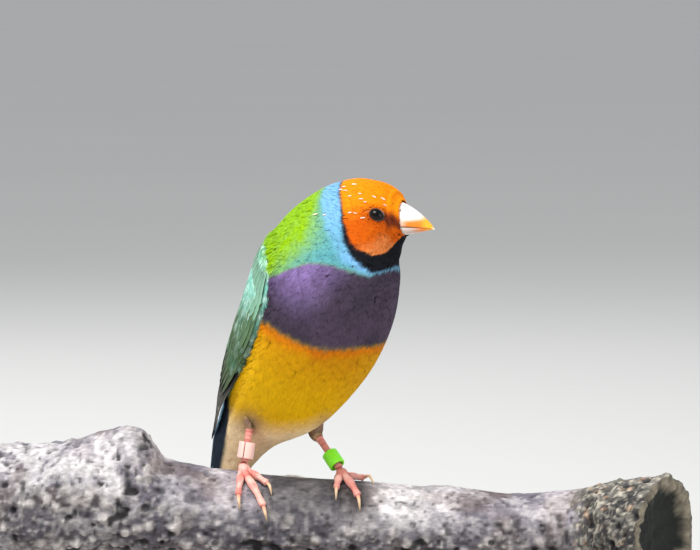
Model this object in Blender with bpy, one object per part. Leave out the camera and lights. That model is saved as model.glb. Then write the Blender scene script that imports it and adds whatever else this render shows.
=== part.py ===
"""A male Gouldian finch perched on a cut length of branch, on a plain display stand.

The bird is built in its own upright plane: s runs forward, l to the bird's left and z up, in
millimetres, from the middle of its feet on the branch. place() turns that into the model's frame:
X along the branch, -Y towards the viewer, Z up, with the origin under the middle of the base.
"""

import math

import bmesh
import bpy
import numpy as np

MM = 0.001
GAP = 0.3
FLAT_ANGLE = math.radians(2.0)

# Where the bird stands, and how it is turned
PERCH_X = -13.1
LEVEL_Z = 48.0
BODY_HEADING = math.radians(50.0)
HEAD_TURN = math.radians(28.0)
TURN_PIVOT_S = 14.0
TURN_START, TURN_END = 5.2, 8.2

# The body's profile, from the root of the tail to the base of the bill. Each row is one section:
# back s and z, belly s and z, half width, and how far the widest place lies below the middle.
BODY_SECTIONS = np.array([
    (-29.6, 3.0, -20.4, -3.4, 3.4, 0.00),
    (-27.0, 12.6, -15.8, 1.8, 5.0, 0.00),
    (-22.6, 22.8, -8.2, 7.0, 8.0, 0.00),
    (-15.6, 35.2, 6.8, 12.6, 13.2, 0.00),
    (-8.4, 47.0, 19.2, 23.4, 17.3, 0.04),
    (-1.4, 58.2, 27.8, 35.0, 18.0, 0.00),
    (5.8, 66.4, 32.0, 46.2, 15.5, 0.00),
    (12.6, 71.4, 32.4, 53.4, 11.2, 0.00),
    (18.0, 73.6, 32.4, 55.6, 9.4, 0.08),
    (23.0, 74.4, 32.6, 57.4, 8.7, 0.10),
    (27.6, 73.4, 33.2, 58.8, 7.9, 0.10),
    (31.2, 71.2, 33.8, 60.0, 6.4, 0.06),
    (33.4, 69.0, 34.4, 60.9, 4.6, 0.00),
])
WING_BED = 2.1
RINGS_A_SECTION = 3
RING_SIDES = 28
TAIL_ROOT, BILL_ROOT = 0.0, 12.0
RUMP_END, BELLY_END, BREAST_END, NECK_END = 1.55, 4.05, 6.1, 7.9

# Eyes and lids
EYE_SECTION, EYE_ANGLE = 9.9, math.radians(84.0)
EYE_RADIUS, EYE_SINK = 2.3, 1.75
LID_LENGTH, LID_HEIGHT, LID_THICK = 2.3, 1.85, 0.5

# Bill
BILL_TIP_S, BILL_TIP_Z = 42.6, 62.6
BILL_SPLIT_Z, BILL_HALF_WIDTH = 63.2, 3.8
NOSTRIL_RADIUS = 0.45

# Perch: stations along the branch give its top line and its radius
BRANCH_LEFT, BRANCH_RIGHT = -86.5, 86.5
BRANCH_STATIONS = np.array([
    (-86.5, 8.5, 13.6),
    (-62.0, 8.4, 13.2),
    (-45.0, 5.0, 12.6),
    (-24.0, 1.2, 11.4),
    (0.0, -0.6, 10.9),
    (30.0, -2.4, 10.6),
    (54.0, -3.6, 10.8),
    (66.0, -0.6, 12.4),
    (86.5, 0.4, 13.2),
])
KNOT_X, KNOT_ANGLE, KNOT_HEIGHT = -51.0, math.radians(8.0), 6.4
CUT_START, CUT_SHEAR, CUT_DEPTH = 50.0, 0.62, 2.4

# Legs: where each foot stands along the branch, and the heel it hangs from
TARSUS_RADIUS, TOE_RADIUS = 0.85, 0.72
BAND_INNER, BAND_OUTER, BAND_HEIGHT, BAND_LIFT = 1.45, 2.0, 4.2, 0.05

# Folded wings: body sections at the bend and the tip, and the angles of the edges on the way
WING_START, WING_END = 5.5, 0.85
WING_STEPS = (0.0, 0.15, 0.4, 0.7, 0.88, 1.0)
WING_UPPER = (44.0, 20.0, 9.0, 9.0, 22.0, 44.0)
WING_LOWER = (80.0, 91.0, 91.0, 82.0, 72.0, 60.0)

# Rows of the wing: count, root, tips, root and tip across, half width, rise over the slab, tilt,
# and how many steps each feather has
VANE_THICK = 0.5
WING_FEATHERS = {
    "primary": (7, 0.50, (0.74, 0.88, 0.97, 1.0, 0.985), (0.60, 0.94), (0.16, 0.88), 0.08, 0.45, 0.45, 5),
    "secondary": (6, 0.27, (0.66, 0.71, 0.70), (0.32, 0.86), (0.34, 0.84), 0.07, 1.2, 0.42, 4),
    "tertial": (3, 0.20, (0.58, 0.66, 0.73), (0.08, 0.24), (0.08, 0.28), 0.10, 1.3, 0.4, 4),
    "greater_covert": (7, 0.15, (0.38, 0.42, 0.40), (0.27, 0.90), (0.27, 0.90), 0.066, 1.8, 0.3, 4),
    "median_covert": (6, 0.04, (0.23, 0.25, 0.23), (0.22, 0.88), (0.22, 0.88), 0.074, 1.5, 0.2, 3),
}

# Tail, and its feathers in pairs: root, place across, spread, lift, tip, half width, tilt, point
TAIL_FEATHERS = (
    (6.0, 0.80, 0.45, 1.5, 40.0, 1.15, 0.1, 0.35),
    (6.0, 1.20, 0.75, 0.7, 31.0, 1.15, 0.1, 0.6),
    (6.0, 1.60, 1.00, -0.1, 29.0, 1.15, 0.1, 0.65),
    (6.0, 2.00, 1.25, -0.9, 26.5, 1.1, 0.1, 0.7),
    (6.0, 2.30, 1.50, -1.7, 24.0, 1.05, 0.1, 0.7),
    (6.0, 2.50, 1.70, -2.5, 21.5, 1.0, 0.1, 0.7),
    (1.5, 0.95, 0.35, 2.8, 18.0, 1.4, 0.3, 0.7),
    (1.0, 2.20, 0.45, 2.0, 13.5, 1.3, 0.4, 0.7),
    (1.5, 0.95, 0.25, -4.0, 16.0, 1.4, -0.3, 0.7),
    (1.0, 2.20, 0.35, -3.5, 12.0, 1.3, -0.4, 0.7),
)
TAIL_S, TAIL_Z = -25.8, 0.6
TAIL_LEAN = math.radians(12.0)

# Scutes on the front of each tarsus
SCUTES, SCUTE_RISE = 7, 0.2

# Stand
BASE_LENGTH, BASE_DEPTH, BASE_HEIGHT = 128.0, 80.0, 8.0
ROD_X = (-44.0, 40.0)
ROD_RADIUS = 2.5


def spline(rows, t):
    """Rows of numbers read at the places t between them, on a smooth curve through every row."""
    rows = np.asarray(rows, float)
    t = np.clip(np.asarray(t, float), 0.0, len(rows) - 1.0)
    ends = np.vstack([2 * rows[0] - rows[1], rows, 2 * rows[-1] - rows[-2]])
    i = np.minimum(t.astype(int), len(rows) - 2)
    f = (t - i)[..., None]
    a, b, c, d = (ends[i + k] for k in range(4))
    return 0.5 * (2 * b + (c - a) * f + (2 * a - 5 * b + 4 * c - d) * f**2
                  + (3 * b - a - 3 * c + d) * f**3)


def smooth(x, low, high):
    """0 below low, 1 above high, and an even ease between."""
    f = np.clip((np.asarray(x, float) - low) / (high - low), 0.0, 1.0)
    return f * f * (3 - 2 * f)


def turned(points, section):
    """The neck's turn: points at a body section swing about an upright line through the neck."""
    angle = HEAD_TURN * smooth(section, TURN_START, TURN_END)
    c, s = np.cos(angle), np.sin(angle)
    out = np.array(points, float)
    forward, left = out[..., 0] - TURN_PIVOT_S, out[..., 1].copy()
    out[..., 0] = TURN_PIVOT_S + forward * c - left * s
    out[..., 1] = forward * s + left * c
    return out


def place(points):
    """Bird coordinates (s, l, z) to the model's frame, in millimetres."""
    points = np.asarray(points, float)
    c, s = math.cos(BODY_HEADING), math.sin(BODY_HEADING)
    x = PERCH_X + points[..., 0] * c + points[..., 1] * s
    y = -points[..., 0] * s + points[..., 1] * c
    return np.stack([x, y, LEVEL_Z + points[..., 2]], axis=-1)


def body_point(section, angle):
    """A point of the plumage: angle 0 is the back, 90 degrees the left side, 180 the belly."""
    section, angle = np.broadcast_arrays(np.asarray(section, float), np.asarray(angle, float))
    row = spline(BODY_SECTIONS, section)
    back = np.stack([row[..., 0], 0 * section, row[..., 1]], axis=-1)
    belly = np.stack([row[..., 2], 0 * section, row[..., 3]], axis=-1)
    middle, half = (back + belly) / 2, (back - belly) / 2
    round_ = np.abs(np.angle(np.exp(1j * angle)))
    bed = WING_BED * (0.65 + 0.35 * smooth(section, 2.6, 4.4)) * smooth(section, 0.6, 1.8)
    bed = bed * (1 - smooth(section, 4.7, 5.6))
    bed = bed * smooth(round_, 0.1, 0.6) * (1 - smooth(round_, 1.5, 1.85))
    across = np.sin(angle)
    up = np.cos(angle) - row[..., 5] * across**2
    shrink = 1 - bed / row[..., 4]
    point = middle + half * (up * shrink)[..., None]
    point[..., 1] += row[..., 4] * across * shrink
    return turned(point, section)


def body_normal(section, angle):
    """The outward normal of the plumage there, from small steps along and around it."""
    step = 1e-3
    along = body_point(section + step, angle) - body_point(section - step, angle)
    around = body_point(section, angle + step) - body_point(section, angle - step)
    normal = np.cross(along, around)
    return normal / np.linalg.norm(normal, axis=-1, keepdims=True)


def lifted(section, angle, lift):
    """A point that stands off the plumage by lift millimetres."""
    lift = np.asarray(lift, float)
    return body_point(section, angle) + body_normal(section, angle) * lift[..., None]


def material(name, color, roughness=0.6, metallic=0.0):
    made = bpy.data.materials.new(name)
    made.use_nodes = True
    shader = made.node_tree.nodes["Principled BSDF"]
    shader.inputs["Base Color"].default_value = (*color, 1.0)
    shader.inputs["Roughness"].default_value = roughness
    shader.inputs["Metallic"].default_value = metallic
    made.diffuse_color = (*color, 1.0)
    return made


def volume_of(points, faces):
    """Six times the signed volume of a closed mesh, to tell which way its faces point."""
    total = 0.0
    for face in faces:
        a = points[face[0]]
        for b, c in zip(face[1:-1], face[2:]):
            total += float(np.dot(a, np.cross(points[b], points[c])))
    return total


def solid(name, points, faces, paint=None):
    """A closed mesh object from points in the model's frame, in millimetres, facing outwards."""
    points = np.asarray(points, float)
    if volume_of(points, faces) < 0:
        faces = [tuple(reversed(face)) for face in faces]
    mesh = bpy.data.meshes.new(name)
    mesh.from_pydata([tuple(p) for p in points * MM], [], [tuple(f) for f in faces])
    mesh.validate()
    obj = bpy.data.objects.new(name, mesh)
    bpy.context.scene.collection.objects.link(obj)
    if paint:
        mesh.materials.append(paint)
    return obj


def ring_faces(rings, sides):
    """Quads between rings of points that lie one after another."""
    faces = []
    for r in range(rings - 1):
        for k in range(sides):
            n = (k + 1) % sides
            faces.append((r * sides + k, r * sides + n, (r + 1) * sides + n, (r + 1) * sides + k))
    return faces


def tube(name, rings, paint=None):
    """A closed solid from rings of points, each end closed by a fan to its middle."""
    rings = np.asarray(rings, float)
    count, sides = rings.shape[:2]
    points = np.vstack([rings.reshape(-1, 3), rings[0].mean(0), rings[-1].mean(0)])
    faces = ring_faces(count, sides)
    first, last = count * sides, count * sides + 1
    for k in range(sides):
        n = (k + 1) % sides
        faces.append((first, n, k))
        faces.append((last, (count - 1) * sides + k, (count - 1) * sides + n))
    return solid(name, points, faces, paint)


def sheet_solid(name, top, bottom, paint=None):
    """A closed thin solid between two grids of points, split into triangles alike on both."""
    top, bottom = np.asarray(top, float), np.asarray(bottom, float)
    rows, columns = top.shape[:2]
    points = np.vstack([top.reshape(-1, 3), bottom.reshape(-1, 3)])
    under = rows * columns
    faces = []
    for i in range(rows - 1):
        for j in range(columns - 1):
            a, b = i * columns + j, i * columns + j + 1
            c, d = (i + 1) * columns + j + 1, (i + 1) * columns + j
            faces += [(a, b, c), (a, c, d), (under + c, under + b, under + a),
                      (under + d, under + c, under + a)]
    rim = [j for j in range(columns)]
    rim += [i * columns + columns - 1 for i in range(1, rows)]
    rim += [(rows - 1) * columns + j for j in range(columns - 2, -1, -1)]
    rim += [i * columns for i in range(rows - 2, 0, -1)]
    for a, b in zip(rim, rim[1:] + rim[:1]):
        faces += [(b, a, under + a), (b, under + a, under + b)]
    return solid(name, points, faces, paint)


def apply_boolean(obj, others, operation, solver="EXACT"):
    """Joins or cuts obj with a collection of closed meshes, applies it and removes them."""
    group = bpy.data.collections.new(obj.name + "_pieces")
    bpy.context.scene.collection.children.link(group)
    for other in others:
        group.objects.link(other)
        bpy.context.scene.collection.objects.unlink(other)
    modifier = obj.modifiers.new("Join", "BOOLEAN")
    modifier.operation = operation
    modifier.operand_type = "COLLECTION"
    modifier.collection = group
    modifier.solver = solver
    bpy.context.view_layer.update()
    graph = bpy.context.evaluated_depsgraph_get()
    mesh = bpy.data.meshes.new_from_object(obj.evaluated_get(graph))
    obj.modifiers.clear()
    paints = list(obj.data.materials)
    obj.data = mesh
    mesh.materials.clear()
    for paint in paints:
        mesh.materials.append(paint)
    for other in others:
        bpy.data.objects.remove(other)
    bpy.data.collections.remove(group)
    keep_largest(obj)
    return obj


def keep_largest(obj):
    """Keeps the largest closed surface of a node, and drops scraps and sealed hollows."""
    work = bmesh.new()
    work.from_mesh(obj.data)
    bmesh.ops.remove_doubles(work, verts=work.verts, dist=1e-7)
    bmesh.ops.dissolve_limit(work, angle_limit=FLAT_ANGLE, verts=work.verts, edges=work.edges)
    bmesh.ops.triangulate(work, faces=work.faces)
    left, groups = set(work.verts), []
    while left:
        stack, group = [left.pop()], []
        while stack:
            vert = stack.pop()
            group.append(vert)
            for edge in vert.link_edges:
                other = edge.other_vert(vert)
                if other in left:
                    left.remove(other)
                    stack.append(other)
        groups.append(group)
    groups.sort(key=len, reverse=True)
    for group in groups[1:]:
        bmesh.ops.delete(work, geom=group, context="VERTS")
    work.to_mesh(obj.data)
    work.free()


def ellipsoid(name, centre, axes, sides=16, rings=10, paint=None):
    """A closed ball: its three axes are vectors from its centre."""
    centre, axes = np.asarray(centre, float), np.asarray(axes, float)
    rows = []
    for r in range(1, rings):
        polar = math.pi * r / rings
        turn = np.linspace(0, 2 * math.pi, sides, endpoint=False)
        unit = np.stack([np.sin(polar) * np.cos(turn), np.sin(polar) * np.sin(turn),
                         np.cos(polar) + 0 * turn], axis=-1)
        rows.append(centre + unit @ axes)
    rows = np.array(rows)
    points = np.vstack([rows.reshape(-1, 3), centre + axes[2], centre - axes[2]])
    faces = ring_faces(rings - 1, sides)
    top, bottom = (rings - 1) * sides, (rings - 1) * sides + 1
    for k in range(sides):
        n = (k + 1) % sides
        faces.append((top, n, k))
        faces.append((bottom, (rings - 2) * sides + k, (rings - 2) * sides + n))
    return solid(name, points, faces, paint)


def push_end(rings, end, into, distance):
    """Moves one end ring along its own flat's normal, into the solid where distance is positive."""
    across = rings[end][RING_SIDES // 4] - rings[end][3 * RING_SIDES // 4]
    deep = rings[end][0] - rings[end][RING_SIDES // 2]
    normal = np.cross(across, deep)
    normal /= np.linalg.norm(normal)
    inward = rings[into].mean(0) - rings[end].mean(0)
    rings[end] += normal * (distance if float(inward @ normal) > 0 else -distance)


def body_lump(name, low, high, paint):
    """One length of the body between two sections, its flat ends half a gap short of them."""
    count = max(3, round((high - low) * RINGS_A_SECTION) + 1)
    sections = np.linspace(low, high, count)
    angles = np.linspace(0, 2 * math.pi, RING_SIDES, endpoint=False)
    rings = place(body_point(sections[:, None], angles[None, :]))
    for end, into in ((0, 1), (-1, -2)):
        if sections[end] not in (TAIL_ROOT, BILL_ROOT):
            push_end(rings, end, into, GAP / 2)
    return tube(name, rings, paint)


def eye_frame(side):
    """Centre of the eyeball and its forward, upward and outward directions, in the model's frame."""
    angle = side * EYE_ANGLE
    surface = place(body_point(EYE_SECTION, angle))
    out = place(body_normal(EYE_SECTION, angle)) - place(np.zeros(3))
    out /= np.linalg.norm(out)
    forward = place(turned(np.array([1.0, 0, -0.15]), 12.0)) - place(turned(np.zeros(3), 12.0))
    forward -= out * (forward @ out)
    forward /= np.linalg.norm(forward)
    up = np.cross(out, forward) * side
    return surface - out * EYE_SINK, forward, up, out


def lid_ring(name, side):
    """The ring of bare lid round an eye: a thin oval tube that lies in the feathers."""
    centre, forward, up, out = eye_frame(side)
    middle = centre + out * (EYE_SINK - 0.05)
    rings = []
    for turn in np.linspace(0, 2 * math.pi, 14, endpoint=False):
        radial = forward * math.cos(turn) * LID_LENGTH + up * math.sin(turn) * LID_HEIGHT
        outwards = radial / np.linalg.norm(radial)
        across = np.linspace(0, 2 * math.pi, 5, endpoint=False)
        rings.append([middle + radial + LID_THICK * (outwards * math.cos(a) + out * math.sin(a))
                      for a in across])
    rings = np.array(rings)
    sides = rings.shape[1]
    faces = ring_faces(len(rings), sides)
    for k in range(sides):
        n = (k + 1) % sides
        base = (len(rings) - 1) * sides
        faces.append((base + k, base + n, n, k))
    return solid(name, rings.reshape(-1, 3), faces)


def make_head(paint, eye_paint):
    """The feathered head, with a lid round each eye and a socket that holds the eyeball."""
    head = body_lump("head", NECK_END, BILL_ROOT, paint)
    lids = [lid_ring("lid", side) for side in (1, -1)]
    apply_boolean(head, lids, "UNION")
    sockets = []
    for side, name in ((1, "eye_left"), (-1, "eye_right")):
        centre, forward, up, out = eye_frame(side)
        for_socket = EYE_RADIUS + GAP
        sockets.append(ellipsoid("socket", centre, (forward * for_socket, up * for_socket * 0.84,
                                                    out * for_socket), 14, 7))
        ellipsoid(name, centre, (forward * EYE_RADIUS, up * EYE_RADIUS * 0.84,
                                 out * EYE_RADIUS), 14, 9, eye_paint)
    apply_boolean(head, sockets, "DIFFERENCE")


def bill_profile(k):
    """Culmen height, mouth line, keel height and half width of the bill, from base to tip."""
    front = np.array([BILL_TIP_S, 0, BILL_TIP_Z])
    top, low = BODY_SECTIONS[-1][1] - 0.25, BODY_SECTIONS[-1][3] - 0.3
    culmen = top + (front[2] - top) * (0.62 * k + 0.38 * k**2.2)
    mouth = BILL_SPLIT_Z + (front[2] - BILL_SPLIT_Z) * k**1.5
    keel = low + (front[2] - 0.2 - low) * k**1.1
    width = BILL_HALF_WIDTH * (1 - k) ** 0.72 * (1 - 0.18 * k) + 0.14
    return culmen, mouth, keel, width


def make_bill(pale):
    """Two horny halves that meet along the mouth line: a cone with a ridge, and a scoop below."""
    back_s = BODY_SECTIONS[-1][0]
    lean = BODY_SECTIONS[-1][2] - BODY_SECTIONS[-1][0]
    for name, steps, reach in (("bill_upper", 8, 1.0), ("bill_lower", 7, 0.93)):
        rings = []
        for k in np.linspace(0, 1, steps) ** 0.9 * reach:
            culmen, mouth, keel, width = bill_profile(k)
            arc = np.linspace(0, math.pi, 9)
            if name == "bill_upper":
                up = mouth + max(culmen - mouth, 0.25) * np.sin(arc) ** 0.9
                side = width * np.cos(arc)
            else:
                floor = mouth - GAP
                up = floor - max(floor - keel, 0.25) * np.sin(arc) ** 0.8
                side = 0.94 * width * np.cos(arc)
            share = (BODY_SECTIONS[-1][1] - up) / (BODY_SECTIONS[-1][1] - BODY_SECTIONS[-1][3])
            base = back_s + lean * share + GAP
            along = base + (BILL_TIP_S - base) * k
            rings.append(np.stack([along, side, up], axis=-1))
        rings = place(turned(np.array(rings), BILL_ROOT))
        bill = tube(name, rings, pale)
        if name == "bill_upper":
            holes = []
            for side in (1, -1):
                spot = np.array([back_s + 1.3, side * 2.35, 66.55])
                centre = place(turned(spot, BILL_ROOT))
                holes.append(ellipsoid("nostril", centre, np.eye(3) * NOSTRIL_RADIUS, 8, 6))
            apply_boolean(bill, holes, "DIFFERENCE")


def branch_line(x):
    """Height of the branch's axis and its plain radius at x."""
    x = np.asarray(x, float)
    stations = BRANCH_STATIONS
    top = np.interp(x, stations[:, 0], stations[:, 1])
    radius = np.interp(x, stations[:, 0], stations[:, 2])
    for shift in (-5.0, 5.0):
        top = top + np.interp(x + shift, stations[:, 0], stations[:, 1])
        radius = radius + np.interp(x + shift, stations[:, 0], stations[:, 2])
    return LEVEL_Z + top / 3 - radius / 3, radius / 3


def branch_radius(x, angle):
    """Radius of the bark: angle 0 is the top and 90 degrees the viewer's side."""
    _, radius = branch_line(x)
    x, angle = np.broadcast_arrays(np.asarray(x, float), np.asarray(angle, float))
    swell = 0.35 * np.sin(x / 9.0 + 2 * angle) + 0.22 * np.sin(x / 4.1 - 3 * angle + 1.0)
    knobs = 0.45 * np.sin(x / 2.3 + 4 * angle) * smooth(np.cos(angle), 0.3, -0.5)
    calm = 1 - 0.85 * smooth(np.cos(angle), 0.1, 0.7) * smooth(x, -34, -28) * (1 - smooth(x, 14, 22))
    away = np.angle(np.exp(1j * (angle - KNOT_ANGLE)))
    left, right = (x - KNOT_X) / 13.0, (x - KNOT_X) / 5.0
    hump = np.where(x < KNOT_X, np.exp(-left**2), np.exp(-right**4))
    knot = KNOT_HEIGHT * hump * np.exp(-((away / 0.62) ** 2))
    return radius + (swell + knobs) * calm + knot


def branch_point(x, angle, lift=0.0):
    """A point that stands off the bark by lift, in the model's frame."""
    axis, _ = branch_line(x)
    reach = branch_radius(x, angle) + lift
    x, angle, reach, axis = np.broadcast_arrays(x, angle, reach, axis)
    return np.stack([x, -reach * np.sin(angle), axis + reach * np.cos(angle)], axis=-1)


def make_branch(paint):
    """The cut length of branch: sawn square on the left, healed round a slanting cut on the right."""
    sides = 20
    angles = np.linspace(0, 2 * math.pi, sides, endpoint=False)
    rings = []
    end_x = BRANCH_RIGHT - CUT_SHEAR * 13.2
    for x in np.linspace(BRANCH_LEFT, end_x, 36):
        ring = branch_point(np.full(sides, x), angles)
        shear = CUT_SHEAR * float(smooth(x, CUT_START, end_x))
        ring[:, 0] += shear * ring[:, 1]
        rings.append(ring)
    outer = rings[-1]
    middle = outer.mean(0)
    normal = np.array([1.0, -CUT_SHEAR, 0.0])
    normal /= np.linalg.norm(normal)
    for share, sink in ((0.9, -0.4), (0.76, 0.9), (0.62, CUT_DEPTH)):
        rings.append(middle + (outer - middle) * share - normal * sink)
    return tube("perch_branch", rings, paint)


def make_stand(wood, metal):
    """A flat base with eased edges, and two short rods whose tops are hollowed to the branch."""
    turn = np.linspace(0, 2 * math.pi, 40, endpoint=False)
    square = 5.0
    outline = np.stack([np.sign(np.cos(turn)) * np.abs(np.cos(turn)) ** (2 / square),
                        np.sign(np.sin(turn)) * np.abs(np.sin(turn)) ** (2 / square)], axis=-1)
    rings = []
    for inset, z in ((0.6, 0.0), (0.0, 0.6), (0.0, BASE_HEIGHT - 1.6), (1.6, BASE_HEIGHT)):
        half = np.array([BASE_LENGTH / 2 - inset, BASE_DEPTH / 2 - inset])
        rings.append(np.column_stack([outline * half, np.full(len(turn), z)]))
    tube("stand_base", rings, wood)
    for name, x in zip(("stand_rod_left", "stand_rod_right"), ROD_X):
        axis, _ = branch_line(x)
        around = np.linspace(0, 2 * math.pi, 16, endpoint=False)
        rings = []
        top = float(axis) - 6.0
        for radius, z in ((ROD_RADIUS + 2.0, BASE_HEIGHT + GAP), (ROD_RADIUS + 2.0, BASE_HEIGHT + 1.5),
                          (ROD_RADIUS, BASE_HEIGHT + 2.2), (ROD_RADIUS, top)):
            rings.append(np.column_stack([x + radius * np.cos(around), radius * np.sin(around),
                                          np.full(len(around), z)]))
        rod = tube(name, rings, metal)
        sides = 24
        angles = np.linspace(0, 2 * math.pi, sides, endpoint=False)
        hollow = [branch_point(np.full(sides, px), angles, 2 * GAP) for px in np.linspace(x - 6, x + 6, 13)]
        apply_boolean(rod, [tube("hollow", hollow)], "DIFFERENCE")


def path_tube(name, path, radii, sides, paint=None, up=(0, 0, 1)):
    """A round tube along a path of points, its rings square to the path."""
    path = np.asarray(path, float)
    tangents = np.gradient(path, axis=0)
    tangents /= np.linalg.norm(tangents, axis=1, keepdims=True)
    side = np.cross(tangents[0], np.asarray(up, float))
    side /= np.linalg.norm(side)
    rings = []
    for point, tangent, radius in zip(path, tangents, radii):
        side = side - tangent * (side @ tangent)
        side /= np.linalg.norm(side)
        other = np.cross(tangent, side)
        turn = np.linspace(0, 2 * math.pi, sides, endpoint=False)
        rings.append(point + radius * (np.cos(turn)[:, None] * side + np.sin(turn)[:, None] * other))
    return tube(name, rings, paint)


def curve_through(points, count):
    """Evenly spaced points on a smooth curve through the given ones."""
    points = np.asarray(points, float)
    fine = spline(points, np.linspace(0, len(points) - 1, 200))
    steps = np.linalg.norm(np.diff(fine, axis=0), axis=1)
    length = np.concatenate([[0], np.cumsum(steps)])
    wanted = np.linspace(0, length[-1], count)
    return np.stack([np.interp(wanted, length, fine[:, k]) for k in range(3)], axis=-1)


# Each toe: how far along the branch it starts and ends, and the angles round the branch of its
# root, its last joint and its claw's tip. Angles grow towards the viewer; the hind toe goes back.
FEET = {
    "right": {
        "stand_x": -24.4, "stand_angle": math.radians(12.0), "hip": (-5.2, -8.6, 21.0), "plump": 0.95,
        "heel": (-23.1, -2.2, LEVEL_Z + 12.2),
        "toes": {
            "inner": (-23.2, -18.6, -17.4, 16, 30, 48, 0.9),
            "middle": (-24.2, -20.0, -18.6, 22, 60, 82, 1.0),
            "outer": (-25.4, -26.8, -26.8, 20, 47, 70, 0.9),
            "hind": (-24.8, -23.6, -23.2, -8, -46, -76, 1.05),
        },
    },
    "left": {
        "stand_x": -0.6, "stand_angle": math.radians(2.0), "hip": (3.8, 10.2, 22.0), "plump": 1.3,
        "heel": (-6.7, 5.0, LEVEL_Z + 9.9),
        "toes": {
            "inner": (-1.2, -1.6, -1.8, 12, 30, 50, 0.9),
            "middle": (0.4, 3.6, 3.9, 12, 38, 64, 1.0),
            "outer": (0.8, 6.2, 7.6, 0, 2, 14, 0.9),
            "hind": (-1.0, -2.4, -2.8, -16, -50, -78, 1.05),
        },
    },
}


def foot_root(foot):
    """Where a tarsus meets its foot, just above the bark."""
    lift = GAP + TOE_RADIUS + 1.3
    return branch_point(foot["stand_x"], foot["stand_angle"], lift)


def make_foot(side, foot, skin, horn):
    """Four toes that lie on the bark, joined at a small pad, and a claw on each."""
    root = foot_root(foot)
    pieces = []
    for toe, (x0, x1, x2, a0, a1, a2, thick) in foot["toes"].items():
        angles = np.radians([a0, (a0 + a1) / 2, a1])
        lift = GAP + TOE_RADIUS * thick
        along = [root + (branch_point(x0, angles[0], lift) - root) * 0.15,
                 branch_point(x0, angles[0], lift + 0.35),
                 branch_point((x0 + x1) / 2, angles[1], lift + 0.15),
                 branch_point(x1, angles[2], lift + 0.05)]
        path = curve_through(along, 8)
        swell = 1 + 0.13 * np.cos(np.linspace(0, 4 * math.pi, 8))
        taper = np.linspace(1.08, 0.82, 8)
        pieces.append(path_tube("toe", path, TOE_RADIUS * thick * swell * taper, 7))
        end = path[-1]
        ahead = path[-1] - path[-2]
        ahead /= np.linalg.norm(ahead)
        start = end + ahead * (GAP + 0.05)
        tip = branch_point(x2, math.radians(a2), GAP + 0.25)
        knee = branch_point((x1 + x2) / 2, math.radians((a1 + a2) / 2), lift + 0.75)
        claw_path = curve_through([start, knee, tip], 6)
        claw_radii = TOE_RADIUS * 0.62 * np.array([1.0, 0.92, 0.78, 0.6, 0.4, 0.14])
        path_tube(f"claw_{side}_{toe}", claw_path, claw_radii, 7, horn)
    pad = ellipsoid("pad", root - np.array([0, 0, 0.35]),
                    np.diag([1.35, 1.25, 1.05]), 9, 6)
    foot_node = pieces[0]
    foot_node.name = f"foot_{side}"
    apply_boolean(foot_node, [*pieces[1:], pad], "UNION")
    foot_node.data.materials.append(skin)


def make_leg(side, foot, skin, band_paint):
    """A feathered thigh, the bare tarsus below it, and the ring that the bird wears."""
    root = foot_root(foot)
    heel = np.array(foot["heel"])
    start = root + (heel - root) / np.linalg.norm(heel - root) * (1.05 + GAP)
    path = start + np.array([0.0, 0.2, 0.75, 1.0])[:, None] * (heel - start)
    radii = TARSUS_RADIUS * np.array([1.12, 0.97, 1.0, 1.15])
    tarsus = path_tube(f"tarsus_{side}", path, radii, 10, skin)
    along = (heel - root) / np.linalg.norm(heel - root)
    apply_boolean(tarsus, make_scutes(start, heel, along), "UNION")
    low = start + along * BAND_LIFT
    make_band(f"band_{side}", low, along, band_paint)
    return start, heel, along


def make_scutes(start, heel, along):
    """Plates that lie one over the next down the front of a tarsus."""
    front = np.array([0.25, -1.0, 0.0])
    front -= along * (front @ along)
    front /= np.linalg.norm(front)
    side = np.cross(along, front)
    turn = np.linspace(-1.2, 1.2, 3)
    around = np.cos(turn)[:, None] * front + np.sin(turn)[:, None] * side
    plates = []
    length = np.linalg.norm(heel - start)
    step = length / (SCUTES + 0.6)
    for k in range(SCUTES):
        low, high = (k + 0.25) * step, (k + 1.2) * step
        outer, inner = [], []
        for z, rise in ((low, SCUTE_RISE), (high, 0.04)):
            middle = start + along * z
            outer.append(middle + around * (TARSUS_RADIUS * 1.02 + rise))
            inner.append(middle + around * TARSUS_RADIUS * 0.45)
        plates.append(sheet_solid("scute", outer, inner))
    return plates


def make_band(name, low, along, paint):
    """A split ring: a short open tube round the tarsus."""
    side = np.cross(along, (0, 1, 0))
    side /= np.linalg.norm(side)
    other = np.cross(along, side)
    sides = 16
    turn = np.linspace(0, 2 * math.pi, sides, endpoint=False)
    around = np.cos(turn)[:, None] * side + np.sin(turn)[:, None] * other
    rings = [low + along * z + around * r for r, z in (
        (BAND_INNER, 0.1), (BAND_OUTER - 0.1, 0.0), (BAND_OUTER, 0.15), (BAND_OUTER, BAND_HEIGHT - 0.15),
        (BAND_OUTER - 0.1, BAND_HEIGHT), (BAND_INNER, BAND_HEIGHT - 0.1))]
    rings = np.array(rings)
    count = len(rings)
    faces = ring_faces(count, sides)
    for k in range(sides):
        n = (k + 1) % sides
        base = (count - 1) * sides
        faces.append((base + k, base + n, n, k))
    solid(name, rings.reshape(-1, 3), faces, paint)


def wing_point(side, u, w, lift):
    """A point of the folded wing: u runs from its bend to its tip, w from its upper edge down."""
    u, w = np.broadcast_arrays(np.asarray(u, float), np.asarray(w, float))
    section = WING_START + (WING_END - WING_START) * u
    upper = np.interp(u, WING_STEPS, WING_UPPER)
    lower = np.interp(u, WING_STEPS, WING_LOWER)
    angle = np.radians(upper + (lower - upper) * w)
    return place(lifted(section, side * angle, lift))


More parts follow.
